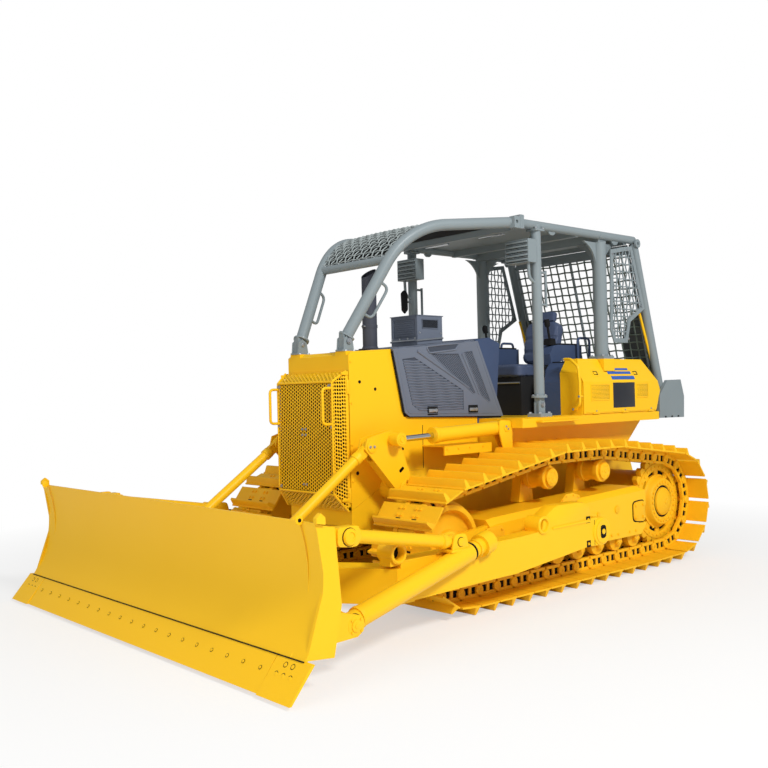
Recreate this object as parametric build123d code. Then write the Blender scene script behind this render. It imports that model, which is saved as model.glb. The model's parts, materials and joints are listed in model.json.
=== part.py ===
from build123d import *
import math
import os

# Crawler dozer with an angling blade on a C-shaped push frame and an open guarded canopy.
# Everything is drawn with the sprocket axle at Y = 0, the ground at Z = 0, the front towards -Y and the
# machine's left towards +X. save() then slides each piece so that the origin is under the machine's middle.

# Driving dimensions, mm
nose_reach = 5060.0            # sprocket axle to the foremost point of the cutting edge
tail_reach = 800.0             # sprocket axle to the end of the drawbar
origin_shift = (nose_reach - tail_reach) / 2
track_gauge = 1900.0
shoe_width = 610.0
link_count = 41
sprocket_z = 540.0
sprocket_pin_radius = 408.0
idler_y, idler_z, idler_pin_radius = -2940.0, 495.0, 375.0
ground_pin_z = 120.0           # height of the chain pins on the ground run
rail_depth = 57.0              # chain pin down to the face that rollers run on
shoe_seat = 50.0               # chain pin up to the underside of a shoe
shoe_thickness = 13.0
grouser_tip = 120.0            # chain pin up to the grouser's tip
carrier_y = (-1000.0, -1750.0)
carrier_z = 905.0
carrier_radius = 105.0
roller_radius = 100.0
body_half_width = 385.0        # hood, radiator guard and main frame
inner_hull_half = 640.0        # fender supports, just inside the tracks
deck_half_width = 870.0
deck_low, deck_top = 1312.0, 1390.0
blade_half_width = 1836.0
trunnion_y, trunnion_z = -1600.0, 480.0
frame_inner, frame_outer = 1300.0, 1440.0
crank_pivot = (-2960.0, 880.0)
crank_tip = (-3310.0, 1230.0)
crank_rod_pin = (-3105.0, 1277.0)
strut_foot = (-4250.0, 582.0)
cylinder_pin = (-1920.0, 1319.0)
strut_x = 572.0
cylinder_x = 682.0
roof_half = 771.0
roof_z = 3055.0


def save(name, *shapes):
    """Write one sub-part, moved to the machine's origin."""
    solids = [s for shape in shapes for s in shape.solids()]
    moved = [Pos(0, origin_shift, 0) * s for s in solids]
    export_step(moved[0] if len(moved) == 1 else Compound(children=moved), f"parts/{name}.step")


def side_plate(points, x_low, x_high):
    """A side-view outline of (y, z) points, extruded from x_low to x_high."""
    outline = make_face(Polyline(*points, close=True))
    return extrude(Plane.YZ.offset(x_low) * outline, amount=x_high - x_low)


def block(x_low, x_high, y_low, y_high, z_low, z_high):
    size = (x_high - x_low, y_high - y_low, z_high - z_low)
    middle = ((x_high + x_low) / 2, (y_high + y_low) / 2, (z_high + z_low) / 2)
    return Pos(*middle) * Box(*size)


def bar(start, end, radius, hole=0.0):
    """A round bar or tube from start to end."""
    axis = Vector(*end) - Vector(*start)
    plane = Plane(origin=start, z_dir=axis)
    section = Circle(radius) - Circle(hole) if hole else Circle(radius)
    return extrude(plane * section, amount=axis.length)


def cross_bar(x_start, x_end, y, z, radius, hole=0.0):
    return bar((x_start, y, z), (x_end, y, z), radius, hole)


def span(side, near, far):
    """Low and high x of a piece that runs from near to far on one side of the machine."""
    return (near, far) if side > 0 else (-far, -near)


def other_side(shape):
    return mirror(shape, about=Plane.YZ)


def chain_pins():
    """Chain pins as (y, z) around the loop: over sprocket, carrier rollers, idler and ground rollers."""
    carried = carrier_radius + rail_depth
    wheels = [
        (0.0, sprocket_z, sprocket_pin_radius),
        (carrier_y[0], carrier_z, carried),
        (carrier_y[1], carrier_z, carried),
        (idler_y, idler_z, idler_pin_radius),
        (-520.0, ground_pin_z + 60.0, 60.0),
    ]
    runs = []
    for here, ahead in zip(wheels, wheels[1:] + wheels[:1]):
        dy, dz = ahead[0] - here[0], ahead[1] - here[1]
        gap = math.hypot(dy, dz)
        lean = math.atan2(dz, dy) - math.acos((here[2] - ahead[2]) / gap)
        runs.append(lean)
    path = []
    for i, (y, z, radius) in enumerate(wheels):
        arrive, leave = runs[i - 1], runs[i]
        turn = (leave - arrive) % (2 * math.pi)
        steps = max(2, int(turn / 0.02))
        path += [(y + radius * math.cos(arrive + turn * k / steps),
                  z + radius * math.sin(arrive + turn * k / steps)) for k in range(steps + 1)]
    lengths = [0.0]
    for a, b in zip(path, path[1:] + path[:1]):
        lengths.append(lengths[-1] + math.dist(a, b))
    pins, at = [], 0
    for k in range(link_count):
        want = lengths[-1] * k / link_count
        while lengths[at + 1] < want:
            at += 1
        a, b = path[at], path[(at + 1) % len(path)]
        part = (want - lengths[at]) / (lengths[at + 1] - lengths[at])
        pins.append((a[0] + part * (b[0] - a[0]), a[1] + part * (b[1] - a[1])))
    return pins


def link_frames():
    """For each link: its rear pin, its direction along the chain and the outward direction."""
    pins = chain_pins()
    frames = []
    for a, b in zip(pins, pins[1:] + pins[:1]):
        pitch = math.dist(a, b)
        along = ((b[0] - a[0]) / pitch, (b[1] - a[1]) / pitch)
        frames.append((a, along, (along[1], -along[0])))
    return frames


def on_link(frame, s, h):
    (y, z), along, out = frame
    return (y + s * along[0] + h * out[0], z + s * along[1] + h * out[1])


# One link's stretch of the shoes' outer outline: (distance along the link, height above the pins)
shoe_outline = [(0, shoe_seat + 5), (9, shoe_seat + shoe_thickness), (148, shoe_seat + shoe_thickness),
                (158, grouser_tip), (174, grouser_tip), (184, shoe_seat + shoe_thickness),
                (196, shoe_seat + shoe_thickness)]
rail_spans = ((-105.0, -62.0), (62.0, 105.0))


def ring(outer, inner, x_low, x_high):
    face = make_face(Polyline(*outer, close=True)) - make_face(Polyline(*inner, close=True))
    return extrude(Plane.YZ.offset(x_low) * face, amount=x_high - x_low)


def make_track():
    middle = track_gauge / 2
    frames = link_frames()
    treads = [on_link(f, s, h) for f in frames for s, h in shoe_outline]
    seats = [on_link(f, 0, shoe_seat) for f in frames]
    rollways = [on_link(f, s, -rail_depth) for f in frames for s in (20, 184)]
    track = ring(treads, seats, middle - shoe_width / 2, middle + shoe_width / 2)
    for low, high in rail_spans:
        track += ring(seats, rollways, middle + low, middle + high)
    return track


def make_sprocket():
    teeth = 25
    outline = []
    for k in range(teeth):
        for part, radius in ((-0.32, 356), (-0.14, 412), (0.14, 412), (0.32, 356)):
            turn = 2 * math.pi * (k + part) / teeth
            outline.append((radius * math.cos(turn), sprocket_z + radius * math.sin(turn)))
    middle = track_gauge / 2
    wheel = side_plate(outline, middle - 32, middle + 32)
    wheel += cross_bar(middle - 40, middle + 50, 0, sprocket_z, 337)
    hub = cross_bar(middle + 50, middle + 90, 0, sprocket_z, 217)
    hub += cross_bar(middle + 90, middle + 104, 0, sprocket_z, 217, 150)
    hub += cross_bar(middle + 90, middle + 100, 0, sprocket_z, 120)
    return wheel + hub


def make_final_drive():
    middle = track_gauge / 2
    return cross_bar(body_half_width, middle - 45, 0, sprocket_z, 280)


def make_idler():
    middle = track_gauge / 2
    tread = math.sqrt(idler_pin_radius ** 2 - 101.6 ** 2) - rail_depth
    wheel = cross_bar(middle - 105, middle + 105, idler_y, idler_z, tread - 1)
    wheel += cross_bar(middle - 55, middle + 55, idler_y, idler_z, tread + 22)
    wheel -= cross_bar(middle + 40, middle + 106, idler_y, idler_z, tread - 45, 90)
    return wheel + cross_bar(middle - 160, middle + 160, idler_y, idler_z, 48)


def make_carriers():
    middle = track_gauge / 2
    rollers = []
    for y in carrier_y:
        roller = cross_bar(middle - 108, middle + 108, y, carrier_z, carrier_radius - 7)
        rollers.append(roller + cross_bar(middle + 100, middle + 140, y, carrier_z, 78))
    return rollers


roller_ys = [-2510 + 280 * k for k in range(8)]


def make_rollers():
    middle = track_gauge / 2
    z = ground_pin_z + rail_depth + roller_radius + 1
    rollers = []
    for y in roller_ys:
        roller = cross_bar(middle - 108, middle + 108, y, z, roller_radius)
        # the shaft's square collars sit on the roller guards
        rollers.append(roller + block(middle - 151, middle + 151, y - 36, y + 36, z - 36, z + 36))
    return rollers


def make_track_frame():
    middle = track_gauge / 2
    outline = [(-2590, 430), (-2590, 645), (-2500, 656), (-560, 735), (-440, 690), (-440, 560), (-560, 400),
               (-2560, 400)]
    beam = side_plate(outline, middle - 170, middle + 175)
    outer_edges = beam.edges().filter_by(lambda e: e.center().X > middle + 174 and e.length > 1000)
    beam = chamfer(outer_edges.filter_by(lambda e: e.center().Z > 690), 45)
    # roller guards hang on both sides of the rollers
    for low, high in ((-170, -152), (152, 175)):
        beam += side_plate([(-2560, 401), (-420, 401), (-520, 300), (-2450, 300)], middle + low,
                           middle + high)
    # idler yoke
    for low, high in ((-150, -112), (112, 150)):
        arm = side_plate([(-2560, 430), (-2560, 610), (-2800, 585), (-3010, 565), (-3035, 495), (-3010, 430)],
                         middle + low, middle + high)
        beam += arm - cross_bar(middle + low - 1, middle + high + 1, idler_y, idler_z, 49)
    # arms that hold the carrier rollers
    for y in carrier_y:
        arm = side_plate([(y - 95, 690), (y - 62, carrier_z), (y + 62, carrier_z), (y + 95, 690)],
                         middle - 240, middle - 150)
        beam += arm + cross_bar(middle - 240, middle - 109, y, carrier_z, 62)
    # trunnion for the push frame
    beam += cross_bar(middle + 170, frame_outer + 20, trunnion_y, trunnion_z, 60)
    beam += cross_bar(middle + 170, frame_inner - 12, trunnion_y, trunnion_z, 105)
    return beam + cross_bar(frame_outer + 6, frame_outer + 20, trunnion_y, trunnion_z, 92)


def make_main_frame():
    hull = side_plate([(-3330, 610), (-3330, 735), (-3000, 900), (-3000, 1000), (420, 1000), (520, 760),
                       (520, 430),
                       (380, 360), (-2600, 360), (-3000, 470)], -body_half_width, body_half_width)
    hull += side_plate([(-1850, 980), (-1850, deck_low), (290, deck_low), (-90, 980)], -inner_hull_half,
                       inner_hull_half)
    # the pivot shaft and the equalizer bar carry the track frames
    reach = track_gauge / 2 - 171
    hull += cross_bar(-reach, reach, -430, 560, 75)
    hull += block(-reach, reach, -2330, -2170, 560, 640)
    for side in (1, -1):
        hull += cross_bar(side * body_half_width, side * 515, *crank_pivot, 80)
        hull += cross_bar(side * 500, side * 626, *crank_pivot, 38)
    return hull


def make_radiator_guard():
    outline = [(-3328, 738), (-3328, 1931), (-3290, 1958), (-2890, 1981), (-2760, 1437), (-1881, 1415),
               (-1881, 1001),
               (-3001, 1001), (-3001, 902)]
    shell = side_plate(outline, -body_half_width, body_half_width)
    inner = body_half_width - 12
    shell -= block(-inner, inner, -3310, -1900, 1013, 1940)
    shell -= block(-330, 330, -3400, -3300, 800, 1780)
    for side in (1, -1):
        shell += block(*span(side, 225, 355), -3327, -3215, 1930, 1961.9)
        ledge = block(*span(side, body_half_width - 2, 640), -2560, -1990, 1186, 1198)
        shell += ledge + block(*span(side, 628, 640), -2560, -1990, 1120, 1186)
    return shell


# Sunk mesh fields of an engine cover in side view, (y, z); a raised rib runs between them
cover_fields = [
    [(-2790, 1900), (-2650, 1915), (-2080, 1640), (-2080, 1475), (-2600, 1475), (-2690, 1530)],
    [(-2460, 1945), (-2130, 1950), (-1930, 1620), (-1960, 1610)],
    [(-2060, 1965), (-1960, 1975), (-1735, 1545), (-1760, 1535), (-1850, 1590)],
]


def make_engine_cover():
    outline = [(-2888, 1981), (-2790, 1560), (-2770, 1470), (-2720, 1437), (-1566, 1405), (-1882, 2066)]
    cover = side_plate(outline, body_half_width + 6, 415)
    for field in cover_fields:
        cover -= side_plate(field, 410, 416)
    hinge_low, hinge_high = (-2888, 1981), (-1882, 2066)
    for part in (0.08, 0.85):
        ends = [tuple(a + (part + k) * (b - a) for a, b in zip(hinge_low, hinge_high)) for k in (0, 0.08)]
        cover += bar((body_half_width + 6, *ends[0]), (body_half_width + 6, *ends[1]), 5.5)
    return cover


def make_hood():
    return side_plate([(-2888, 1982), (-2888, 1990), (-1890, 2076), (-1890, 2068)], -body_half_width,
                      body_half_width)


def make_dash():
    outline = [(-1880, deck_low), (-1880, 2078), (-1700, 2100), (-1560, 2050), (-1620, 1500), (-1560, 1391),
               (-1560, deck_low)]
    return side_plate(outline, -body_half_width, body_half_width)


def make_blade():
    face = ThreePointArc((-4820, 938), (-4768, 600), (-4905, 205))
    back = ThreePointArc((-4886, 205), (-4749, 600), (-4801, 938))
    section = make_face(Wire([face, Line(face @ 1, back @ 0), back, Line(back @ 1, face @ 0)]))
    board = extrude(Plane.YZ.offset(-blade_half_width) * section, amount=2 * blade_half_width)
    board += side_plate([(-4890, 220), (-4740, 470), (-4640, 470), (-4640, 260), (-4740, 200)], -1640, 1640)
    board += side_plate([(-4800, 930), (-4762, 730), (-4700, 760), (-4700, 915)], -1640, 1640)
    end_rib = [(-4810, 930), (-4755, 600), (-4890, 210), (-4700, 190), (-4640, 470), (-4680, 900)]
    rib = [(-4762, 735), (-4741, 470), (-4645, 465), (-4702, 765)]
    lower_ear = [(-4880, 222), (-4440, 235), (-4395, 262), (-4395, 335), (-4440, 362), (-4700, 430),
                 (-4765, 470)]
    upper_ear = [(-4705, 735), (-4380, 740), (-4330, 770), (-4330, 810), (-4380, 840), (-4705, 870)]
    for side in (1, -1):
        board += side_plate(end_rib, *span(side, blade_half_width - 22, blade_half_width))
        for x in (300, 850, 1400):
            board += side_plate(rib, *span(side, x - 12, x + 12))
        for x in (1558, 1712):
            board += side_plate(lower_ear, *span(side, x, x + 18))
        for x in (1480, 1588):
            board += side_plate(upper_ear, *span(side, x, x + 12))
        board += side_plate([(-4822, 936), (-4822, 965), (-4790, 990), (-4760, 965), (-4760, 925)],
                            *span(side, 1828, 1858))
    return board


def make_cutting_edges():
    edge = side_plate([(-4907, 204), (-5050, 22), (-5034, 20), (-4884, 204)], -1590, 1590)
    bit = [(-4907, 204), (-nose_reach, 20), (-5044, 20), (-4884, 204)]
    return edge, side_plate(bit, 1596, 1900), side_plate(bit, -1900, -1596)


def push_arm(side):
    outline = [(-1600, 590), (-1690, 600), (-2620, 556), (-3820, 545), (-3820, 275), (-2620, 300),
               (-1760, 380),
               (-1600, 370)]
    arm = side_plate(outline, *span(side, frame_inner, frame_outer))
    arm += cross_bar(side * frame_inner, side * frame_outer, trunnion_y, trunnion_z, 112)
    return arm - cross_bar(side * (frame_inner - 1), side * (frame_outer + 1), trunnion_y, trunnion_z, 61)


def make_push_frame():
    nose = make_face(Polyline((-1440, -3700), (-1440, -3850), (-480, -4500), (480, -4500), (1440, -3850),
                              (1440, -3700), (1300, -3700), (430, -4300), (-430, -4300), (-1300, -3700),
                              close=True))
    frame = extrude(Plane.XY.offset(270) * nose, amount=230) + push_arm(1) + push_arm(-1)
    # tongue that carries the middle of the blade
    frame += block(-110, 110, -4638, -4480, 300, 468)
    lug = [(-4335, 490), (-4300, 640), (-4180, 640), (-4130, 490)]
    for side in (1, -1):
        for x in (516, 616):
            frame += side_plate(lug, *span(side, x, x + 12))
        # sockets that take the ends of the angling struts
        for y, z in ((-3840, 600), (-2345, 612)):
            socket = cross_bar(side * 1310, side * 1450, y, z, 68)
            frame += socket + block(*span(side, 1330, 1430), y - 60, y + 60, 520, z)
            frame -= cross_bar(side * 1309, side * 1451, y, z, 47)
    return frame


def make_angling_struts():
    struts = []
    for side in (1, -1):
        front, rear = (side * 1650, -4449, 300), (side * 1455, -2990, 574)
        strut = bar(front, rear, 57) + cross_bar(side * 1594, side * 1706, -4449, 300, 56)
        start = tuple(a + 0.93 * (b - a) for a, b in zip(front, rear))
        strut += bar(start, rear, 80)
        strut += bar((side * 1540, -4376, 790), (side * 1470, -3340, 612), 42)
        strut += cross_bar(side * 1498, side * 1582, -4376, 790, 48)
        strut += side_plate([(-3400, 470), (-3385, 640), (-3320, 650), (-3290, 500)], *span(side, 1450, 1500))
        struts.append(strut - push_arm(side))
    return struts


def make_crank():
    outline = [(-3375, 1215), (-3355, 1290), (-3290, 1310), (-3110, 1345), (-3040, 1300), (-2880, 900),
               (-2905, 815),
               (-2990, 805)]
    crank = side_plate(outline, 596, 611) + side_plate(outline, 524, 539)
    crank += side_plate([(-3285, 1118), (-3265, 1133), (-2975, 835), (-2990, 815)], 538, 597)
    crank += cross_bar(524, 618, *crank_tip, 30)
    crank += cross_bar(538, 597, *crank_pivot, 70) + cross_bar(610, 636, *crank_rod_pin, 32)
    return crank - cross_bar(519, 633, *crank_pivot, 38.4)


def make_lift_strut():
    (ty, tz), (fy, fz) = crank_tip, strut_foot
    length = math.hypot(fy - ty, fz - tz)
    dy, dz = (fy - ty) / length, (fz - tz) / length
    neck = [(ty - 38 * dz, tz + 38 * dy), (ty + 130 * dy - 38 * dz, tz + 130 * dz + 38 * dy),
            (ty + 130 * dy + 38 * dz, tz + 130 * dz - 38 * dy), (ty + 38 * dz, tz - 38 * dy)]
    strut = side_plate(neck, strut_x - 20, strut_x + 20) + cross_bar(strut_x - 20, strut_x + 20, ty, tz, 52)
    strut += bar((strut_x, ty + 112 * dy, tz + 112 * dz), (strut_x, fy, fz), 38)
    strut += cross_bar(strut_x - 38, strut_x + 38, fy, fz, 45)
    return strut - cross_bar(strut_x - 30, strut_x + 30, ty, tz, 30.4)


def on_cylinder(part):
    """A (y, z) point on the lift cylinder's axis: 0 at its rear pin, 1 at the rod's pin."""
    (py, pz), (ey, ez) = cylinder_pin, crank_rod_pin
    return (py + part * (ey - py), pz + part * (ez - pz))


def make_barrel():
    tube = bar((cylinder_x, *on_cylinder(0.05)), (cylinder_x, *on_cylinder(0.693)), 58)
    tube += bar((cylinder_x, *on_cylinder(0.65)), (cylinder_x, *on_cylinder(0.693)), 64)
    tube -= bar((cylinder_x, *on_cylinder(0.075)), (cylinder_x, *on_cylinder(0.7)), 23.4)
    eye = cross_bar(cylinder_x - 28, cylinder_x + 28, *cylinder_pin, 50)
    (py, pz) = cylinder_pin
    eye += block(cylinder_x - 27, cylinder_x + 27, py - 58, py, pz - 38, pz + 38)
    return tube + eye - cross_bar(cylinder_x - 30, cylinder_x + 30, *cylinder_pin, 25.4)


def make_rod():
    rod = bar((cylinder_x, *crank_rod_pin), (cylinder_x, *on_cylinder(0.36)), 22.8)
    return rod + cross_bar(cylinder_x - 40, cylinder_x + 40, *crank_rod_pin, 50)


def make_cylinder_brackets():
    brackets = []
    (py, pz) = cylinder_pin
    ear = [(py - 45, pz - 55), (py - 40, pz + 38), (-1862, pz + 38), (-1862, 1130), (-1900, 1130)]
    for side in (1, -1):
        bracket = block(*span(side, 600, 750), -1864, -1850, 1130, deck_low - 2)
        for x in (cylinder_x - 53, cylinder_x + 35):
            bracket += side_plate(ear, *span(side, x, x + 18))
        bracket += cross_bar(side * (cylinder_x - 53), side * (cylinder_x + 53), py, pz, 25)
        brackets.append(bracket)
    return brackets


def make_deck():
    deck = block(-deck_half_width, deck_half_width, -1558, 250, deck_low + 1, deck_top)
    for side in (1, -1):
        deck += block(*span(side, body_half_width, deck_half_width), -1858, -1557, deck_low + 1, deck_top)
        # arms that carry the rear frame
        deck += block(*span(side, 690, 790), 249, 419, 1330, deck_top)
    return deck


# Side box in front view, (x, z): the lid follows its outer wall and slope
box_slope = ((870, 1690), (745, 1905))


def side_box_outline(inset):
    return [(-1000 + inset, deck_top + inset), (-1000 + inset, 1780), (-905 + inset / 2, 1905),
            (150 - inset / 2, 1905), (289 - inset, 1599), (208 - inset, deck_top + inset)]


def make_side_box(side):
    box = side_plate(side_box_outline(0), *span(side, 620, 858))
    (x1, z1), (x2, z2) = box_slope
    cutter = Polyline((side * (x1 + 20), z1 - 6), (side * (x1 - 12), z1 - 6), (side * (x2 - 12), z2 - 6),
                      (side * (x2 - 12), z2 + 20), (side * (x1 + 20), z2 + 20), close=True)
    box -= extrude(Plane.XZ.offset(-400) * make_face(cutter), amount=1500)
    # pad under the rear post
    return box + block(*span(side, 650, 814), -585, -415, 1790, 1905)


def make_box_lid(side):
    (x1, z1), (x2, z2) = box_slope
    section = Polyline((side * x1, deck_top + 12), (side * x1, z1), (side * x2, z2),
                       (side * (x2 - 8), z2 - 5),
                       (side * (x1 - 8), z1 - 2), (side * (x1 - 8), deck_top + 12), close=True)
    shell = extrude(Plane.XZ.offset(-400) * make_face(section), amount=1500)
    lid = shell & side_plate(side_box_outline(8), *span(side, 700, 880))
    lid -= block(*span(side, 640, 822), -593, -407, 1780, 1920)
    for y in (-850, -380, 60):
        lid += bar((side * x1, y, deck_top + 12), (side * x1, y + 90, deck_top + 12), 8)
    return lid


def make_seat():
    cushion = extrude(Plane.XY.offset(1760) * Pos(0, -860) * RectangleRounded(480, 520, 90), amount=110)
    lean = Plane(origin=(0, -548, 1874), x_dir=(1, 0, 0), z_dir=(0, -1, 0.22))
    back = extrude(lean * Pos(0, 235) * RectangleRounded(460, 470, 120), amount=-110)
    back += extrude(lean * Pos(0, 505) * RectangleRounded(280, 120, 50), amount=-90)
    base = block(-210, 210, -1060, -600, deck_top, 1759)
    return cushion, back, base


def make_consoles():
    """The moulded panel inside each side box, and the armrest console between it and the seat."""
    consoles = []
    wall = [(-1008, deck_top), (-1000, 1700), (-975, 1815), (-915, 1872), (-850, 1880), (-302, 1880),
            (-302, deck_top)]
    arm = [(-900, 1861), (-915, 1960), (-870, 2035), (-800, 2050), (-420, 2050), (-420, 1861)]
    for side in (1, -1):
        consoles.append(side_plate(wall, *span(side, 440, 618)) + side_plate(arm, *span(side, 330, 450)))
    return consoles


def make_levers():
    """Steering lever on the left console, blade lever on the right one, each with its boot."""
    left = side_plate([(-890, 2051), (-870, 2110), (-810, 2110), (-790, 2051)], 350, 430)
    left += bar((390, -840, 2105), (390, -870, 2240), 11) + bar((390, -868, 2230), (390, -880, 2290), 24)
    right = side_plate([(-890, 2051), (-870, 2110), (-810, 2110), (-790, 2051)], -430, -350)
    right += bar((-390, -840, 2105), (-390, -860, 2220), 11) + bar((-390, -858, 2210), (-390, -868, 2280), 24)
    return left, right


def canopy_path(side):
    return FilletPolyline((side * 290, -3262, 2080), (side * 486, -2770, 2960),
                          (side * roof_half, -1762, roof_z),
                          radius=700)


def make_canopy_front():
    canopy = bar((-425, -2921, 2690), (425, -2921, 2690), 35)
    for side in (1, -1):
        path = canopy_path(side)
        canopy += sweep(Plane(origin=path @ 0, z_dir=path % 0) * Circle(47), path=path)
        canopy += block(*span(side, roof_half - 58, roof_half + 58), -1772, -1748, roof_z - 58, roof_z + 58)
        lug = block(*span(side, roof_half, roof_half + 56), -1845, -1771, roof_z - 58, roof_z + 40)
        canopy += lug - cross_bar(side * roof_half, side * (roof_half + 57), -1812, roof_z - 5, 15)
        canopy += block(*span(side, 245, 335), -3340, -3230, 1962, 1975)
        canopy += side_plate([(-3320, 1974), (-3316, 2110), (-3220, 2110), (-3240, 1974)],
                             *span(side, 262, 318))
    return canopy


def make_canopy_mesh():
    """The guard over the driver's view ahead: it follows the bent tubes from their cross tube to the roof."""
    steps = [canopy_path(1) @ (0.3505 + 0.6375 * k / 12) for k in range(13)]
    side_view = [(p.Y, p.Z + 8) for p in steps] + [(p.Y, p.Z - 8) for p in reversed(steps)]
    plan = [(p.X, p.Y) for p in steps] + [(-p.X, p.Y) for p in reversed(steps)]
    sheet = side_plate(side_view, -roof_half, roof_half)
    sheet &= extrude(Plane.XY.offset(2000) * make_face(Polyline(*plan, close=True)), amount=1200)
    for side in (1, -1):
        path = canopy_path(side)
        sheet -= sweep(Plane(origin=path @ 0, z_dir=path % 0) * Circle(47), path=path)
    sheet -= bar((-500, -2921, 2690), (500, -2921, 2690), 35)
    return sheet


def roof_rail(side, radius):
    return bar((side * roof_half, -1740, roof_z), (side * roof_half, 15, roof_z + 12), radius)


def make_roof():
    roof = block(-roof_half, roof_half, -1720, -10, roof_z + 20, roof_z + 32)
    for side in (1, -1):
        roof += roof_rail(side, 38)
        roof += block(*span(side, roof_half - 58, roof_half + 58), -1747, -1723, roof_z - 58, roof_z + 58)
    for y in (-1650, -900, -120):
        roof += block(-roof_half, roof_half, y - 25, y + 25, roof_z - 40, roof_z + 22)
    return roof + block(-roof_half, roof_half, -560, -440, 3000, roof_z + 22)


def make_front_posts():
    posts = []
    for side in (1, -1):
        post = bar((side * roof_half, -1500, 1575), (side * roof_half, -1500, roof_z + 5),
                   45) - roof_rail(side, 38.1)
        post += cross_bar_z(side * roof_half, -1500, 1560, 1580, 68)
        post += block(*span(side, 742, 800), -1532, -1468, 1424, 1562)
        for z in (2370, 2650):
            post += bar((side * roof_half, -1475, z), (side * roof_half, -1375, z), 11)
        post += cross_bar_z(side * roof_half, -1375, 2350, 2670, 12)
        posts.append(post + block(*span(side, 700, 842), -1580, -1420, deck_top, 1425))
    return posts


def cross_bar_z(x, y, z_low, z_high, radius):
    return bar((x, y, z_low), (x, y, z_high), radius)


def flare(middle, away, near, far):
    """The outline of a gusset that curves out from a post's side to the roof."""
    curve = ThreePointArc((middle + away * near, 2690), (middle + away * (near + 50), 2900),
                          (middle + away * far, 2999))
    rest = Polyline(curve @ 1, (middle, 2999), (middle, 2690), curve @ 0)
    return make_face([curve] + rest.edges())


def make_rear_posts():
    posts = []
    for side in (1, -1):
        post = cross_bar_z(side * 732, -500, 1925, 3000, 65)
        post += block(*span(side, 650, 814), -585, -415, 1905, 1930)
        for away in (1, -1):
            post += extrude(Plane.YZ.offset(side * 732 - 10) * flare(-500, away, 60, 260), amount=20)
        posts.append(post + extrude(Plane.XZ.offset(490) * flare(side * 732, -side, 60, 260), amount=20))
    return posts


def make_rear_frame():
    """Braces from the roof down to a beam behind the tank, with an upright plate at each end."""
    frame = block(-812, 812, 420, 560, 1320, 1449)
    plate = [(305, 1322), (311, 1550), (467, 1697), (717, 1701), (777, 1531), (766, 1316)]
    for side in (1, -1):
        frame += bar((side * roof_half, 20, roof_z - 20), (side * roof_half, 483, 1440),
                     43) - roof_rail(side, 38.2)
        frame += cross_bar(side * (roof_half + 39), side * (roof_half + 58), 18, roof_z - 24, 42, 14)
        frame += side_plate(plate, *span(side, 811, 845))
    return frame - block(-roof_half, roof_half, -60, -9, roof_z + 19, roof_z + 33)


def make_tank():
    outline = [(-300, 1392), (-300, 1700), (-150, 1850), (280, 1850), (418, 1500), (418, 1316), (252, 1316),
               (252, 1392)]
    return side_plate(outline, -600, 600)


def make_rear_screen():
    def at(x, part):
        return (x, 40 + part * 420, 2960 - part * 1440)
    frame = bar(at(-727, 0), at(727, 0), 14) + bar(at(-727, 1), at(727, 1), 14)
    for x in (-700, 0, 700):
        frame += bar(at(x, 0), at(x, 1), 14)
    return frame


def make_side_screens():
    outline = [(-423, 2937), (-230, 2975), (-66, 2998), (135, 2403), (-117, 2265), (-178, 2061), (-396, 2057),
               (-456, 2178)]
    face = make_face(Polyline(*outline, close=True))
    rim = face - offset(face, amount=-40)
    return [extrude(Plane.YZ.offset(low) * rim, amount=12) for low in (800, -812)]


def make_lamp_boxes():
    boxes = []
    for side in (1, -1):
        box = block(*span(side, 560, 815), -1660, -1547, 2725, 2925)
        box -= block(*span(side, 568, 807), -1665, -1555, 2733, 2917)
        for z in (2769, 2807, 2845, 2883):
            box += block(*span(side, 566, 809), -1660, -1636, z - 3, z + 3)
        boxes.append(box)
    return boxes


def make_air_intake():
    """The pre-cleaner box on the hood: a louvred panel in front, a mesh window in each side and a lid."""
    box = side_plate([(-2366, 2037), (-2366, 2288), (-2060, 2288), (-2060, 2063)], -163, 163)
    box += block(-170, 170, -2374, -2052, 2287, 2294)
    box -= block(-135, 135, -2370, -2358, 2100, 2262)
    for side in (1, -1):
        box -= block(*span(side, 155, 164), -2310, -2110, 2175, 2262)
    return box


def make_grille_door():
    door = block(-386, 386, -3362, -3335, 735, 1806) - block(-350, 350, -3370, -3330, 770, 1770)
    tray = loft([Plane.XZ.offset(3360) * Pos(0, 1270.5) * Rectangle(772, 1071),
                 Plane.XZ.offset(3470) * Pos(0, 1297.5) * Rectangle(694, 855)])
    inner = loft([Plane.XZ.offset(3359) * Pos(0, 1270.5) * Rectangle(756, 1055),
                  Plane.XZ.offset(3462) * Pos(0, 1297.5) * Rectangle(682, 843)])
    for z in (800, 1630):
        door += cross_bar_z(386, -3345, z, z + 110, 12)
    return door + (tray - inner)


def make_drawbar():
    bar_plate = block(-90, 90, 521, tail_reach, 430, 520)
    return bar_plate - cross_bar_z(0, 730, 400, 560, 26)


def both_sides(name, *shapes):
    save(name, *shapes, *[other_side(shape) for shape in shapes])


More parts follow.
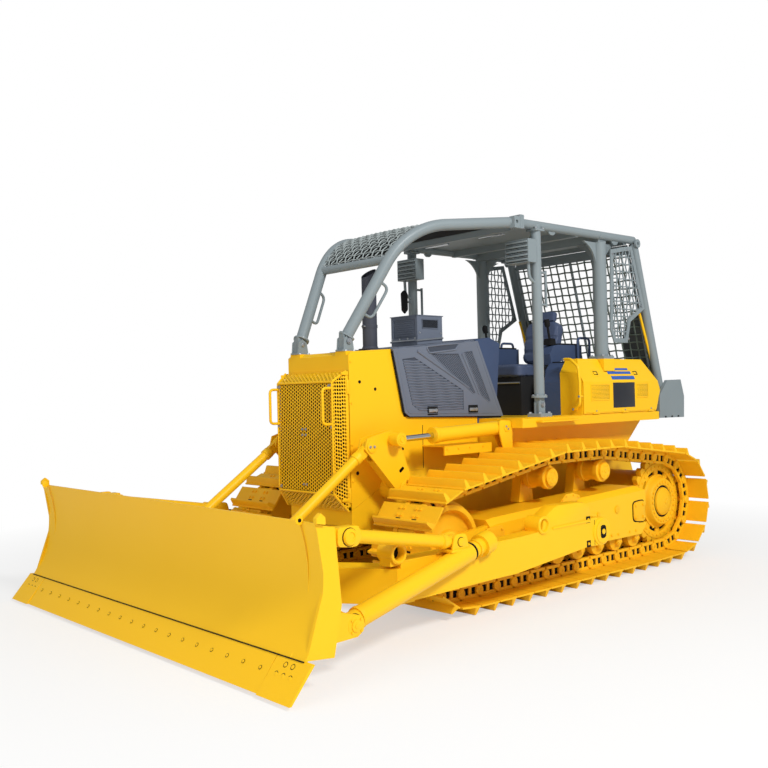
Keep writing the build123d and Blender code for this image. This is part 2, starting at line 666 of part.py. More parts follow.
def main():
    os.makedirs("parts", exist_ok=True)
    pairs = [("track", make_track()), ("track_frame", make_track_frame()), ("bell_crank", make_crank()),
             ("lift_strut", make_lift_strut()), ("cylinder_barrel", make_barrel()), ("cylinder_rod",
                                                                                     make_rod()),
             ("engine_cover", make_engine_cover()), ("side_box_lid", make_box_lid(1))]
    for name, shape in pairs:
        save(name + "_l", shape)
        save(name + "_r", other_side(shape))
    both_sides("sprockets", make_sprocket())
    both_sides("final_drives", make_final_drive())
    both_sides("idlers", make_idler())
    both_sides("carrier_rollers", *make_carriers())
    both_sides("track_rollers", *make_rollers())
    both_sides("side_boxes", make_side_box(1))
    save("consoles", *make_consoles())
    save("levers", *make_levers())
    save("front_posts", *make_front_posts())
    save("rear_posts", *make_rear_posts())
    save("rear_frame", make_rear_frame())
    save("side_screens", *make_side_screens())
    save("lamp_boxes", *make_lamp_boxes())
    save("angling_struts", *make_angling_struts())
    save("cylinder_brackets", *make_cylinder_brackets())
    save("main_frame", make_main_frame())
    save("radiator_guard", make_radiator_guard())
    save("hood_top", make_hood())
    save("dashboard", make_dash())
    save("engine_block", block(-300, 300, -3050, -1970, 1014, 1850))
    save("exhaust_stack", bar((60, -2815, 2003), (60, -2815, 2664), 61, 55))
    save("air_intake", make_air_intake())
    save("deck", make_deck())
    cushion, back, base = make_seat()
    save("seat_cushion", cushion)
    save("seat_back", back)
    save("seat_base", base)
    save("canopy_front", make_canopy_front())
    save("canopy_mesh", make_canopy_mesh())
    save("canopy_roof", make_roof())
    save("rear_screen", make_rear_screen())
    save("fuel_tank", make_tank())
    save("drawbar", make_drawbar())
    save("grille_door", make_grille_door())
    save("push_frame", make_push_frame())
    save("blade", make_blade())
    save("cutting_edges", *make_cutting_edges())


main()
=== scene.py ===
import json
import math

import bmesh
import bpy
from mathutils import Matrix, Vector


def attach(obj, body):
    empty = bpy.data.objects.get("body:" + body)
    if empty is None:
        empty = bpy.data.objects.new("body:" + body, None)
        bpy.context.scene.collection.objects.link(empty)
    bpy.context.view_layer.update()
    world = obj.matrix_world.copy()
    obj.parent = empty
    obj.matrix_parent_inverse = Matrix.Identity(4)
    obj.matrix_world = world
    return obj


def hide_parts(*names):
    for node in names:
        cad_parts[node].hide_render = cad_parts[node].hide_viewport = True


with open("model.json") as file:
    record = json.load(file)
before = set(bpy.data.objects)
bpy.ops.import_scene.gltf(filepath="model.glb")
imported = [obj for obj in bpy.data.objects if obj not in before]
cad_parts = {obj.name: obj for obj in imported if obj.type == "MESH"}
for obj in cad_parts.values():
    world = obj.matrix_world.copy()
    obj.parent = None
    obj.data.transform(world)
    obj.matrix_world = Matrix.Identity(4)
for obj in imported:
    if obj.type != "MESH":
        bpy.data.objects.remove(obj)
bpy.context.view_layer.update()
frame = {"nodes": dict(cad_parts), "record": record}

# Sizes are in mm, measured from the sprocket axle (y = 0), the ground (z = 0) and the middle (x = 0).
# newPiece() turns them into metres and slides them by axleShift, as the frame has them.
axleShift = 2130.0


# Materials

def linear(hexText):
    channels = [int(hexText[i:i + 2], 16) / 255 for i in (1, 3, 5)]
    return [c / 12.92 if c <= 0.04045 else ((c + 0.055) / 1.055) ** 2.4 for c in channels] + [1.0]


def addNode(tree, kind, settings=(), links=()):
    node = tree.nodes.new(kind)
    for key, value in dict(settings).items():
        if key in node.inputs:
            node.inputs[key].default_value = value
        else:
            setattr(node, key, value)
    for key, source in dict(links).items():
        tree.links.new(source, node.inputs[key])
    return node


# colour and shade are the two ends of a slow drift over "patch" mm; the bump's grain is "grain" mm
finishColumns = ("colour", "shade", "rough", "patch", "grain", "bump", "coat", "metal", "cells")
finishes = {
    # satin machine enamel over welded plate: soft broad highlights, faint orange peel
    "yellowEnamel": ("#FFCA1A", "#FBC416", 0.42, 900, 7, 0.05, 0.05, 0.0),
    # thinner enamel over cast and forged track parts: rougher and a little browner
    "trackEnamel": ("#FFC71C", "#F2B61A", 0.5, 260, 5, 0.14, 0.0, 0.0),
    # grey-green enamel on tube and plate
    "canopyEnamel": ("#8C979B", "#7F8A8E", 0.42, 700, 6, 0.06, 0.1, 0.0),
    # low-gloss slate enamel on the pressed engine covers
    "slateEnamel": ("#717988", "#676F7E", 0.48, 500, 4, 0.08, 0.0, 0.0),
    # the same enamel where the light hardly reaches it, behind louvres and fine mesh
    "slateShade": ("#4A505C", "#424854", 0.7, 300, 4, 0.08, 0.0, 0.0),
    # dark heat-stained slate on the exhaust
    "stackEnamel": ("#4B4F5B", "#3D404A", 0.5, 240, 4, 0.1, 0.0, 0.0),
    # grained moulded plastic of the consoles
    "consolePlastic": ("#47587A", "#3D4C6A", 0.55, 300, 2.5, 0.2, 0.0, 0.0),
    # coated seat cloth, cut into small hide-like cells
    "seatVinyl": ("#566382", "#46536E", 0.45, 200, 5, 0.35, 0.2, 0.0, True),
    "blackEnamel": ("#2C2D2F", "#202123", 0.6, 300, 3, 0.1, 0.0, 0.0),
    # matt rubber of seams, boots and knobs
    "blackRubber": ("#1B1C1E", "#141516", 0.8, 120, 2, 0.15, 0.0, 0.0),
    # unlit depth behind holes and louvres
    "deepShade": ("#101113", "#0A0B0C", 0.9, 200, 4, 0.05, 0.0, 0.0),
    "engineIron": ("#35383B", "#26282A", 0.7, 200, 5, 0.2, 0.0, 0.0),
    # hard chrome on the cylinder rods
    "rodChrome": ("#DDE0E2", "#CFD3D6", 0.12, 400, 3, 0.01, 0.0, 1.0),
    # zinc plate on bolts and pins
    "zincPlate": ("#C3C7CB", "#A9AEB3", 0.34, 60, 2, 0.06, 0.0, 0.8),
    # dull galvanised wire of the rear screen
    "greenWire": ("#7A867C", "#657068", 0.5, 120, 3, 0.08, 0.0, 0.0),
    "paleWire": ("#B0B8B8", "#98A2A2", 0.42, 120, 3, 0.08, 0.0, 0.0),
    "stripeBlue": ("#2D62B8", "#2759AB", 0.4, 200, 4, 0.02, 0.2, 0.0),
    # painted shade: the grey seen through the screens at the rear corners
    "screenShade": ("#5A5F60", "#4E5354", 0.7, 200, 4, 0.1, 0.0, 0.0),
    "plateDark": ("#2B2E35", "#24272D", 0.35, 200, 4, 0.03, 0.2, 0.0),
    # the lamps' silvered bowls and their ribbed lenses
    "lampSilver": ("#E8EAEC", "#D5D8DB", 0.15, 100, 3, 0.02, 0.0, 1.0),
}


def makeMaterial(name, row):
    facts = dict(zip(finishColumns, row))
    material = bpy.data.materials.new(name)
    material.use_nodes = True
    tree = material.node_tree
    shader = tree.nodes["Principled BSDF"]
    place = addNode(tree, "ShaderNodeTexCoord").outputs["Object"]
    broad = addNode(tree, "ShaderNodeTexNoise", {"Scale": 1000 / facts["patch"], "Detail": 3.0}, {"Vector": place})
    mix = addNode(tree, "ShaderNodeMix", {"data_type": "RGBA"}, {"Factor": broad.outputs["Fac"]})
    mix.inputs[6].default_value = linear(facts["colour"])
    mix.inputs[7].default_value = linear(facts["shade"])
    tree.links.new(mix.outputs[2], shader.inputs["Base Color"])
    # the gloss drifts with the colour
    gloss = addNode(tree, "ShaderNodeMapRange", {"To Min": facts["rough"] * 0.85, "To Max": facts["rough"] * 1.15},
                    {"Value": broad.outputs["Fac"]})
    tree.links.new(gloss.outputs["Result"], shader.inputs["Roughness"])
    if facts.get("cells"):
        cells = {"feature": "DISTANCE_TO_EDGE", "Scale": 1000 / facts["grain"]}
        fine = addNode(tree, "ShaderNodeTexVoronoi", cells, {"Vector": place}).outputs["Distance"]
    else:
        fine = addNode(tree, "ShaderNodeTexNoise", {"Scale": 1000 / facts["grain"], "Detail": 2.0},
                       {"Vector": place}).outputs["Fac"]
    bump = addNode(tree, "ShaderNodeBump", {"Strength": facts["bump"], "Distance": 0.001}, {"Height": fine})
    tree.links.new(bump.outputs["Normal"], shader.inputs["Normal"])
    shader.inputs["Coat Weight"].default_value = facts["coat"]
    shader.inputs["Coat Roughness"].default_value = 0.25
    shader.inputs["Metallic"].default_value = facts["metal"]
    shader.inputs["Specular IOR Level"].default_value = 0.22
    return material


materials = {name: makeMaterial(name, row) for name, row in finishes.items()}
slotFinish = {"yellow_paint": "yellowEnamel", "track_paint": "trackEnamel", "canopy_paint": "canopyEnamel",
              "cover_paint": "slateEnamel", "console_plastic": "consolePlastic", "dark_paint": "blackEnamel",
              "engine_paint": "engineIron", "rod_chrome": "rodChrome", "seat_vinyl": "seatVinyl",
              "edge_steel": "yellowEnamel"}
# some nodes of a slot have another finish than the rest of it; the canopy_mesh sheet under the roof wires is painted
# shade
ownFinish = {"air_intake": "slateEnamel", "dashboard": "consolePlastic", "seat_base": "blackEnamel",
             "rear_screen": "canopyEnamel", "canopy_mesh": "deepShade", "levers": "blackRubber",
             "cylinder_rod_l": "yellowEnamel", "cylinder_rod_r": "yellowEnamel"}
slotOf = {part["node"]: part["material_slot"] for part in frame["record"]["subparts"]}
for nodeName, node in frame["nodes"].items():
    node.data.materials.clear()
    node.data.materials.append(materials[ownFinish.get(nodeName, slotFinish[slotOf[nodeName]])])
print("materials on", len(frame["nodes"]), "nodes")


# Shapes: each makes a small mesh of its own, and put() or stamp() adds it to a piece

def soften(bm, edges, width):
    if width:
        bmesh.ops.bevel(bm, geom=edges, offset=width, segments=2, profile=0.5, affect="EDGES", material=-1)


def boxShape(low, high, bevel=0.0):
    bm = bmesh.new()
    bmesh.ops.create_cube(bm, size=1.0)
    bmesh.ops.scale(bm, vec=[b - a for a, b in zip(low, high)], verts=bm.verts)
    bmesh.ops.translate(bm, vec=[(a + b) / 2 for a, b in zip(low, high)], verts=bm.verts)
    soften(bm, bm.edges[:], bevel)
    return bm


def facing(start, end):
    run = Vector(end) - Vector(start)
    return Matrix.Translation(start) @ run.to_track_quat("Z", "Y").to_matrix().to_4x4()


def rodShape(start, end, radius, endRadius=None, sides=20, bevel=0.0):
    length = (Vector(end) - Vector(start)).length
    bm = bmesh.new()
    bmesh.ops.create_cone(bm, cap_ends=True, segments=sides, radius1=radius,
                          radius2=radius if endRadius is None else endRadius, depth=length)
    soften(bm, [edge for edge in bm.edges if abs(edge.verts[0].co.z - edge.verts[1].co.z) < 0.001], bevel)
    bmesh.ops.translate(bm, vec=(0, 0, length / 2), verts=bm.verts)
    bmesh.ops.transform(bm, matrix=facing(start, end), verts=bm.verts)
    return bm


# a turned shape round the line from start to end; profile holds (distance along it, radius)
def latheShape(profile, start, end, sides=40):
    bm = bmesh.new()
    verts = [bm.verts.new((radius, 0, along)) for along, radius in profile]
    edges = [bm.edges.new(pair) for pair in zip(verts, verts[1:])]
    bmesh.ops.spin(bm, geom=verts + edges, cent=(0, 0, 0), axis=(0, 0, 1), angle=2 * math.pi, steps=sides,
                   use_merge=True)
    bmesh.ops.remove_doubles(bm, verts=bm.verts, dist=0.01)
    bmesh.ops.transform(bm, matrix=facing(start, end), verts=bm.verts)
    return bm


# an outline in the plane across one axis, given by its other two coordinates, made thick from low to high
def plateShape(axis, outline, low, high, bevel=0.0):
    slot = "xyz".index(axis)
    bm = bmesh.new()
    corners = []
    for pair in outline:
        corner = list(pair)
        corner.insert(slot, low)
        corners.append(bm.verts.new(corner))
    face = bm.faces.new(corners)
    grown = bmesh.ops.extrude_face_region(bm, geom=[face])["geom"]
    shift = Vector((0, 0, 0))
    shift[slot] = high - low
    bmesh.ops.translate(bm, vec=shift, verts=[item for item in grown if isinstance(item, bmesh.types.BMVert)])
    soften(bm, bm.edges[:], bevel)
    return bm


# a round tube through points, rolled from a flat grid so that it never twists
def tubeShape(points, radius, sides=10, closed=False):
    points = [Vector(point) for point in points]
    if closed:
        points.append(points[0].copy())
    last = len(points) - 1
    bm = bmesh.new()
    bmesh.ops.create_grid(bm, x_segments=sides, y_segments=last, size=1.0)
    turns = []
    for i in range(last + 1):
        ahead = points[i + 1] if i < last else points[1 if closed else last]
        behind = points[i - 1] if i else points[last - 1 if closed else 0]
        run = ahead - behind
        if turns:
            turns.append((turns[-1] @ Vector((0, 0, 1))).rotation_difference(run) @ turns[-1])
        else:
            turns.append(run.to_track_quat("Z", "Y"))
    for vert in bm.verts:
        i = round((vert.co.y + 1) / 2 * last)
        angle = math.pi * (vert.co.x + 1)
        vert.co = points[i] + turns[i] @ Vector((radius * math.cos(angle), radius * math.sin(angle), 0))
    bmesh.ops.remove_doubles(bm, verts=bm.verts, dist=0.01)
    if not closed:
        bmesh.ops.edgeloop_fill(bm, edges=[edge for edge in bm.edges if edge.is_boundary])
    return bm


# points with their corners rounded, for bent tube
def bent(points, radius, steps=5):
    points = [Vector(point) for point in points]
    path = [points[0]]
    for before, here, after in zip(points, points[1:], points[2:]):
        inward, outward = (here - before).normalized(), (after - here).normalized()
        half = inward.angle(outward) / 2
        trim = min(radius * math.tan(half), (here - before).length * 0.48, (after - here).length * 0.48)
        start, end = here - inward * trim, here + outward * trim
        for k in range(steps + 1):
            t = k / steps
            path.append(start * (1 - t) ** 2 + here * 2 * t * (1 - t) + end * t ** 2)
    path.append(points[-1])
    return path


def put(bm, shape, finish=0, matrix=None):
    for face in shape.faces:
        face.material_index = finish
    if matrix is not None:
        bmesh.ops.transform(shape, matrix=matrix, verts=shape.verts)
    held = bpy.data.meshes.new("held")
    shape.to_mesh(held)
    shape.free()
    bm.from_mesh(held)
    bpy.data.meshes.remove(held)


def keep(shape, name):
    mesh = bpy.data.meshes.new(name)
    shape.to_mesh(mesh)
    shape.free()
    return mesh


def stamp(bm, mesh, matrix, finish=None):
    copy = mesh.copy()
    copy.transform(matrix)
    if finish is not None:
        copy.polygons.foreach_set("material_index", [finish] * len(copy.polygons))
    bm.from_mesh(copy)
    bpy.data.meshes.remove(copy)


def mirrorAcross(bm):
    bmesh.ops.mirror(bm, geom=bm.verts[:] + bm.edges[:] + bm.faces[:], axis="X", merge_dist=0.01)


def hexBolt():
    bm = bmesh.new()
    put(bm, rodShape((0, 0, 0), (0, 0, 0.22), 1.25, sides=12))
    put(bm, rodShape((0, 0, 0.21), (0, 0, 0.85), 1.0, 0.92, sides=6))
    return keep(bm, "hexBolt")


boltMesh = hexBolt()


def bolts(bm, places, towards, radius, finish):
    for place in places:
        matrix = facing(place, Vector(place) + Vector(towards)) @ Matrix.Scale(radius, 4)
        stamp(bm, boltMesh, matrix, finish)


# a round plate or pin across the machine, from one x to another
def disc(bm, low, high, y, z, radius, finish=0, sides=32, bevel=0.0):
    put(bm, rodShape((low, y, z), (high, y, z), radius, sides=sides, bevel=bevel), finish)


# a shape turned round a line across the machine that starts at x, y, z
def turned(bm, profile, x, y, z, sides=36, finish=0):
    put(bm, latheShape(profile, (x, y, z), (x + 100, y, z), sides), finish)


# an outline in side view with its corners rounded, all but the first and the last
def rounded(outline, radius, closed=True):
    ends = outline[:1] if closed else []
    path = [(point.y, point.z) for point in bent([(0, *corner) for corner in outline + ends], radius)]
    return path[:-1] if closed else path


def ringOf(count, radius, x, y, z, start=0.0):
    angles = [start + 2 * math.pi * k / count for k in range(count)]
    return [(x, y + radius * math.cos(angle), z + radius * math.sin(angle)) for angle in angles]


def newPiece(name, bm, names, body, replaced=(), side=1, smooth=35):
    bmesh.ops.remove_doubles(bm, verts=bm.verts, dist=0.01)
    bmesh.ops.scale(bm, vec=(0.001 * side, 0.001, 0.001), verts=bm.verts)
    bmesh.ops.translate(bm, vec=(0, axleShift / 1000, 0), verts=bm.verts)
    bmesh.ops.recalc_face_normals(bm, faces=bm.faces)
    mesh = bpy.data.meshes.new(name)
    bm.to_mesh(mesh)
    bm.free()
    mesh.shade_smooth()
    mesh.set_sharp_from_angle(angle=math.radians(smooth))
    for finish in names:
        mesh.materials.append(materials[finish])
    piece = bpy.data.objects.new(name, mesh)
    bpy.context.collection.objects.link(piece)
    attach(piece, body)
    if replaced:
        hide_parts(*replaced)
    return piece


# The tracks: one link with its shoe, stamped along the chain

chainFacts = {"links": 41, "seat": 50, "middle": 950, "halfShoe": 305,
              "wheels": [(0, 540, 408), (-1000, 905, 162), (-1750, 905, 162), (-2940, 495, 375), (-520, 180, 60)]}


def chainPins(facts):
    wheels = facts["wheels"]
    leans = []
    for here, ahead in zip(wheels, wheels[1:] + wheels[:1]):
        dy, dz = ahead[0] - here[0], ahead[1] - here[1]
        leans.append(math.atan2(dz, dy) - math.acos((here[2] - ahead[2]) / math.hypot(dy, dz)))
    path = []
    for i, (y, z, radius) in enumerate(wheels):
        turn = (leans[i] - leans[i - 1]) % (2 * math.pi)
        steps = max(2, int(turn / 0.02))
        for k in range(steps + 1):
            angle = leans[i - 1] + turn * k / steps
            path.append((y + radius * math.cos(angle), z + radius * math.sin(angle)))
    lengths = [0.0]
    for a, b in zip(path, path[1:] + path[:1]):
        lengths.append(lengths[-1] + math.dist(a, b))
    pins, place = [], 0
    for k in range(facts["links"]):
        want = lengths[-1] * k / facts["links"]
        while lengths[place + 1] < want:
            place += 1
        a, b = path[place], path[(place + 1) % len(path)]
        part = (want - lengths[place]) / (lengths[place + 1] - lengths[place])
        pins.append((a[0] + part * (b[0] - a[0]), a[1] + part * (b[1] - a[1])))
    return pins


# one link: x across the machine, y along the chain, z outwards from the pins
def trackLink(facts):
    bm = bmesh.new()
    half = facts["halfShoe"]
    put(bm, plateShape("x", [(3, 50), (7, 63), (199, 63), (203, 57), (201, 50)], -half, half))
    grouser = plateShape("x", [(144, 62), (155, 117), (158, 120), (171, 120), (175, 116), (188, 62)], -half, half)
    for vert in grouser.verts:
        if vert.co.z > 100:
            vert.co.x *= 0.93
    put(bm, grouser)
    for side in (1, -1):
        for x in (62, 105):
            for y in (42, 100):
                bolts(bm, [(side * x, y, 62)], (0, 0, 1), 12.5, 0)
        # mud holes in the shoe, just ahead of the grouser, drawn as dark slabs of painted shade
        put(bm, boxShape((side * 83 - 24, 122, 60), (side * 83 + 24, 138, 63.6)), 1)
        # a rail of two bars and three posts with open windows between them
        for low, high in ((-57, -32), (22, 50)):
            put(bm, boxShape((side * 83 - 18, 10, low), (side * 83 + 18, 193, high), 2.5))
        for y, wide in ((22, 26), (102, 30), (181, 26)):
            put(bm, boxShape((side * 83 - 16, y - wide / 2, -34), (side * 83 + 16, y + wide / 2, 24)))
        # a dark plate inside the windows: painted shade
        put(bm, boxShape((side * 83 - 5, 30, -33), (side * 83 + 5, 174, 23)), 1)
        # the boss round each pin, with the pin's dimpled end
        boss = [(0, 0), (0, 12), (3, 14), (5, 33), (0, 40), (-44, 40), (-44, 0)]
        put(bm, latheShape(boss, (side * 106, 0, 0), (side * 206, 0, 0), 16))
    put(bm, rodShape((-64, 0, 0), (64, 0, 0), 33, sides=16))
    bmesh.ops.recalc_face_normals(bm, faces=bm.faces)
    return keep(bm, "trackLink")


linkMesh = trackLink(chainFacts)
pins = chainPins(chainFacts)
for label, side in (("Left", 1), ("Right", -1)):
    bm = bmesh.new()
    for (ay, az), (by, bz) in zip(pins, pins[1:] + pins[:1]):
        pitch = math.dist((ay, az), (by, bz))
        dy, dz = (by - ay) / pitch, (bz - az) / pitch
        matrix = Matrix(((1, 0, 0, chainFacts["middle"]), (0, dy, dz, ay), (0, dz, -dy, az), (0, 0, 0, 1)))
        stamp(bm, linkMesh, matrix)
    newPiece("track" + label, bm, ["trackEnamel", "deepShade"], "chassis",
             ["track_" + label[0].lower()], side)
print("tracks done")

# Sprockets, idlers and rollers, turned about their axles

sprocketFacts = {"teeth": 25, "windows": 10, "rim": [(-32, 292), (-32, 354), (32, 354), (32, 292), (-32, 292)],
                 "hub": [(-40, 0), (-40, 252), (22, 252), (34, 240), (60, 226), (86, 217), (90, 212), (90, 156),
                         (80, 150), (80, 132), (96, 128), (112, 104), (124, 66), (129, 40), (129, 0)]}


def wheelAt(profile, y, z, sides=48):
    return latheShape(profile, (950, y, z), (1050, y, z), sides)


bm = bmesh.new()
put(bm, wheelAt(sprocketFacts["rim"], 0, 540, 75))
put(bm, wheelAt(sprocketFacts["hub"], 0, 540, 64))
# dark disc behind the windows: painted shade
put(bm, wheelAt([(-6, 0), (-6, 296), (2, 296), (2, 0)], 0, 540, 64), 1)
put(bm, wheelAt([(8, 236), (8, 254), (30, 254), (34, 236)], 0, 540, 64))
tooth = [(-52, 350), (-40, 372), (-25, 404), (-17, 412), (17, 412), (25, 404), (40, 372), (52, 350)]
axle = Matrix.Translation((0, 0, 540))
for k in range(sprocketFacts["teeth"]):
    turn = Matrix.Rotation(2 * math.pi * k / sprocketFacts["teeth"] - math.pi / 2, 4, "X")
    put(bm, plateShape("x", tooth, 924, 976), 0, axle @ turn)
for k in range(sprocketFacts["windows"]):
    turn = Matrix.Rotation(2 * math.pi * k / sprocketFacts["windows"], 4, "X")
    put(bm, plateShape("x", [(-26, 232), (26, 232), (34, 300), (-34, 300)], 952, 972, 3), 0, axle @ turn)
bolts(bm, ringOf(24, 184, 1039, 0, 540), (1, 0, 0), 13, 0)
bolts(bm, ringOf(30, 322, 981, 0, 540), (1, 0, 0), 11, 0)
put(bm, wheelAt([(76, 150), (81, 149), (81, 133), (76, 132)], 0, 540, 64), 1)
put(bm, wheelAt([(128, 0), (128, 26), (134, 24), (134, 0)], 0, 540, 32), 0)
mirrorAcross(bm)
newPiece("sprocketWheels", bm, ["trackEnamel", "deepShade"], "chassis", ["sprockets"])

bm = bmesh.new()
idlerProfile = [(-160, 0), (-160, 46), (-104, 48), (-104, 290), (-98, 300), (-58, 303), (-52, 324), (52, 324),
                (58, 303), (98, 300), (104, 290), (104, 262), (96, 254), (62, 246), (50, 226), (50, 150), (62, 118),
                (98, 108), (104, 92), (120, 48), (160, 46), (160, 0)]
put(bm, wheelAt(idlerProfile, -2940, 495, 64))
bolts(bm, ringOf(8, 74, 1049, -2940, 495), (1, 0, 0), 8, 0)
mirrorAcross(bm)
newPiece("idlerWheels", bm, ["trackEnamel"], "chassis", ["idlers"])

bm = bmesh.new()
rollerProfile = [(-151, 0), (-151, 30), (-110, 34), (-108, 96), (-62, 99), (-60, 88), (-8, 84), (-8, 56), (8, 56),
                 (8, 84), (60, 88), (62, 99), (108, 96), (112, 60), (122, 40), (151, 30), (151, 0)]
for k in range(8):
    y = -2510 + 280 * k
    put(bm, wheelAt(rollerProfile, y, 278, 32))
    for side in (1, -1):
        put(bm, boxShape((950 + side * 132 - 18, y - 36, 242), (950 + side * 132 + 18, y + 36, 314), 5))
        bolts(bm, [(950 + side * 150, y + j, 262) for j in (-22, 22)], (side, 0, 0), 8, 0)
mirrorAcross(bm)
newPiece("trackRollers", bm, ["trackEnamel"], "chassis", ["track_rollers"])

bm = bmesh.new()
carrierProfile = [(-108, 0), (-108, 92), (-102, 98), (-62, 98), (-56, 86), (-14, 82), (14, 82), (56, 86), (62, 98),
                  (102, 98), (108, 92), (110, 76), (132, 74), (139, 62), (139, 40), (136, 36), (136, 0)]
for y in (-1000, -1750):
    put(bm, wheelAt(carrierProfile, y, 905, 40))
    put(bm, wheelAt([(134, 42), (136.8, 42), (136.8, 46), (134, 46)], y, 905, 40), 1)
    put(bm, wheelAt([(134, 0), (139, 0), (139, 16), (134, 18)], y, 905, 24))
    bolts(bm, ringOf(6, 51, 1088, y, 905), (1, 0, 0), 6, 0)
mirrorAcross(bm)
newPiece("carrierRollers", bm, ["trackEnamel", "deepShade"], "chassis", ["carrier_rollers"])

# Fittings on the track frames

bm = bmesh.new()
# half-round plate on the top, and the round cover at the rear with its bolts
topPlate = [(-1720, 700), (-1640, 760), (-1540, 762), (-1452, 735), (-1452, 706), (-1600, 660)]
put(bm, plateShape("x", topPlate, 1125, 1133, 2))
bolts(bm, [(1133, -1690, 716), (1133, -1640, 742), (1133, -1540, 744), (1133, -1480, 728)], (1, 0, 0), 8, 0)
for grow, high, finish in ((10, 1128, 2), (0, 1138, 0)):
    cover = [(-560, 600 + grow), (-652 - grow, 592 + grow), (-646 - grow, 430 - grow), (-462 + grow, 408 - grow),
             (-476 + grow, 600 + grow)]
    put(bm, plateShape("x", rounded(cover, 50), 1124, high, 2), finish)
bolts(bm, [(1138, y, z) for y in (-622, -506) for z in (458, 566)], (1, 0, 0), 12, 0)
disc(bm, 1124, 1134, -900, 560, 34, 0, 24, 2)
disc(bm, 1124, 1132, -1180, 545, 22, 0, 20, 2)
# the idler's spring housing and its yoke bolts
springPlate = [(-2640, 460), (-2640, 590), (-2460, 600), (-2430, 560), (-2430, 470)]
put(bm, plateShape("x", springPlate, 1125, 1137, 4))
bolts(bm, [(1137, y, z) for y in (-2610, -2465) for z in (484, 572)], (1, 0, 0), 11, 0)
for y in range(-2480, -300, 280):
    bolts(bm, [(1125, y + j, 340) for j in (90, 190)], (1, 0, 0), 10, 0)
mirrorAcross(bm)
newPiece("frameFittings", bm, ["trackEnamel", "zincPlate", "deepShade"], "chassis")
print("undercarriage done")


# Grille door: perforated panels round a deep tray

grilleFacts = {"hole": 10.2, "across": 23.5, "down": 27.0, "front": ((-347, 870), (347, 1725)), "frontY": -3470,
               "rim": ((-386, 735), (386, 1806)), "rimY": -3361, "handleX": 338, "handleZ": (1404, 1678)}


# one perforated tile: a square loop bridged to a round hole, with the hole's wall behind it
def holedTile(wide, tall, radius, depth):
    bm = bmesh.new()
    outer = bmesh.ops.create_circle(bm, cap_ends=False, segments=8, radius=1.0)["verts"]
    for vert in outer:
        vert.co.x = round(vert.co.x * 1.2) * wide / 2
        vert.co.y = round(vert.co.y * 1.2) * tall / 2
    inner = bmesh.ops.create_circle(bm, cap_ends=False, segments=8, radius=radius)["verts"]
    bmesh.ops.bridge_loops(bm, edges=list({edge for vert in outer + inner for edge in vert.link_edges}))
    rim = [edge for edge in bm.edges if edge.is_boundary and edge.verts[0].co.length < radius + 0.1]
    grown = bmesh.ops.extrude_edge_only(bm, edges=rim)["geom"]
    floorVerts = [item for item in grown if isinstance(item, bmesh.types.BMVert)]
    bmesh.ops.translate(bm, vec=(0, 0, -depth), verts=floorVerts)
    return keep(bm, "holedTile")


# fills the patch between two edges with tiles: low and high are each edge's two ends
def perforate(bm, tile, low, high):
    (a, b), (c, d) = [[Vector(end) for end in pair] for pair in (low, high)]
    wide, tall = grilleFacts["across"], grilleFacts["down"]
    columns = max(1, int(((b - a).length + (d - c).length) / 2 / wide))
    for i in range(columns):
        foot = a.lerp(b, (i + 0.5) / columns)
        head = c.lerp(d, (i + 0.5) / columns)
        sideways = ((b - a) / columns).lerp((d - c) / columns, 0.5)
        rise = head - foot
        rows = int(rise.length / tall - 0.5)
        step = rise / (rows + 0.5)
        across, upwards = sideways.normalized(), rise.normalized()
        turn = Matrix((across, upwards, across.cross(upwards))).transposed().to_4x4()
        fitted = Matrix.Diagonal((sideways.length / wide, step.length / tall, 1, 1))
        for k in range(rows):
            centre = foot + step * (k + (0.5 if i % 2 else 1.0))
            stamp(bm, tile, Matrix.Translation(centre) @ turn @ fitted, 0)


bm = bmesh.new()
tile = holedTile(grilleFacts["across"], grilleFacts["down"], grilleFacts["hole"], 4.0)
(fx0, fz0), (fx1, fz1) = grilleFacts["front"]
(rx0, rz0), (rx1, rz1) = grilleFacts["rim"]
fy, ry = grilleFacts["frontY"], grilleFacts["rimY"]
front = [(fx0, fy, fz0), (fx1, fy, fz0), (fx1, fy, fz1), (fx0, fy, fz1)]  # corners, round from the lower one
rim = [(rx0, ry, rz0), (rx1, ry, rz0), (rx1, ry, rz1), (rx0, ry, rz1)]
perforate(bm, tile, front[:2], (front[3], front[2]))
perforate(bm, tile, (front[3], front[2]), (rim[3], rim[2]))
perforate(bm, tile, rim[:2], front[:2])
perforate(bm, tile, (front[1], rim[1]), (front[2], rim[2]))
perforate(bm, tile, (rim[0], front[0]), (rim[3], front[3]))
# folded edges between the panels, and the flat rim that shuts on the guard
for start, end in list(zip(front, front[1:] + front[:1])) + list(zip(front, rim)):
    put(bm, rodShape(Vector(start) + Vector((0, 3, 0)), Vector(end) + Vector((0, 3, 0)), 9, sides=10))
for x0, x1, z0, z1 in ((-386, -350, 735, 1806), (350, 386, 735, 1806), (-386, 386, 1768, 1806), (-386, 386, 735, 772)):
    put(bm, boxShape((x0, -3362, z0), (x1, -3335, z1), 4))
# dark sheets behind the perforations: painted shade inside the tray
put(bm, boxShape((-340, -3352, 780), (340, -3346, 1760)), 1)
shadeBack = boxShape((-338, -3452, 880), (338, -3440, 1716))
for vert in shadeBack.verts:
    if vert.co.y > -3445:
        vert.co = (vert.co.x * 1.09, -3358, 1270 + (vert.co.z - 1298) * 1.2)
put(bm, shadeBack, 1)
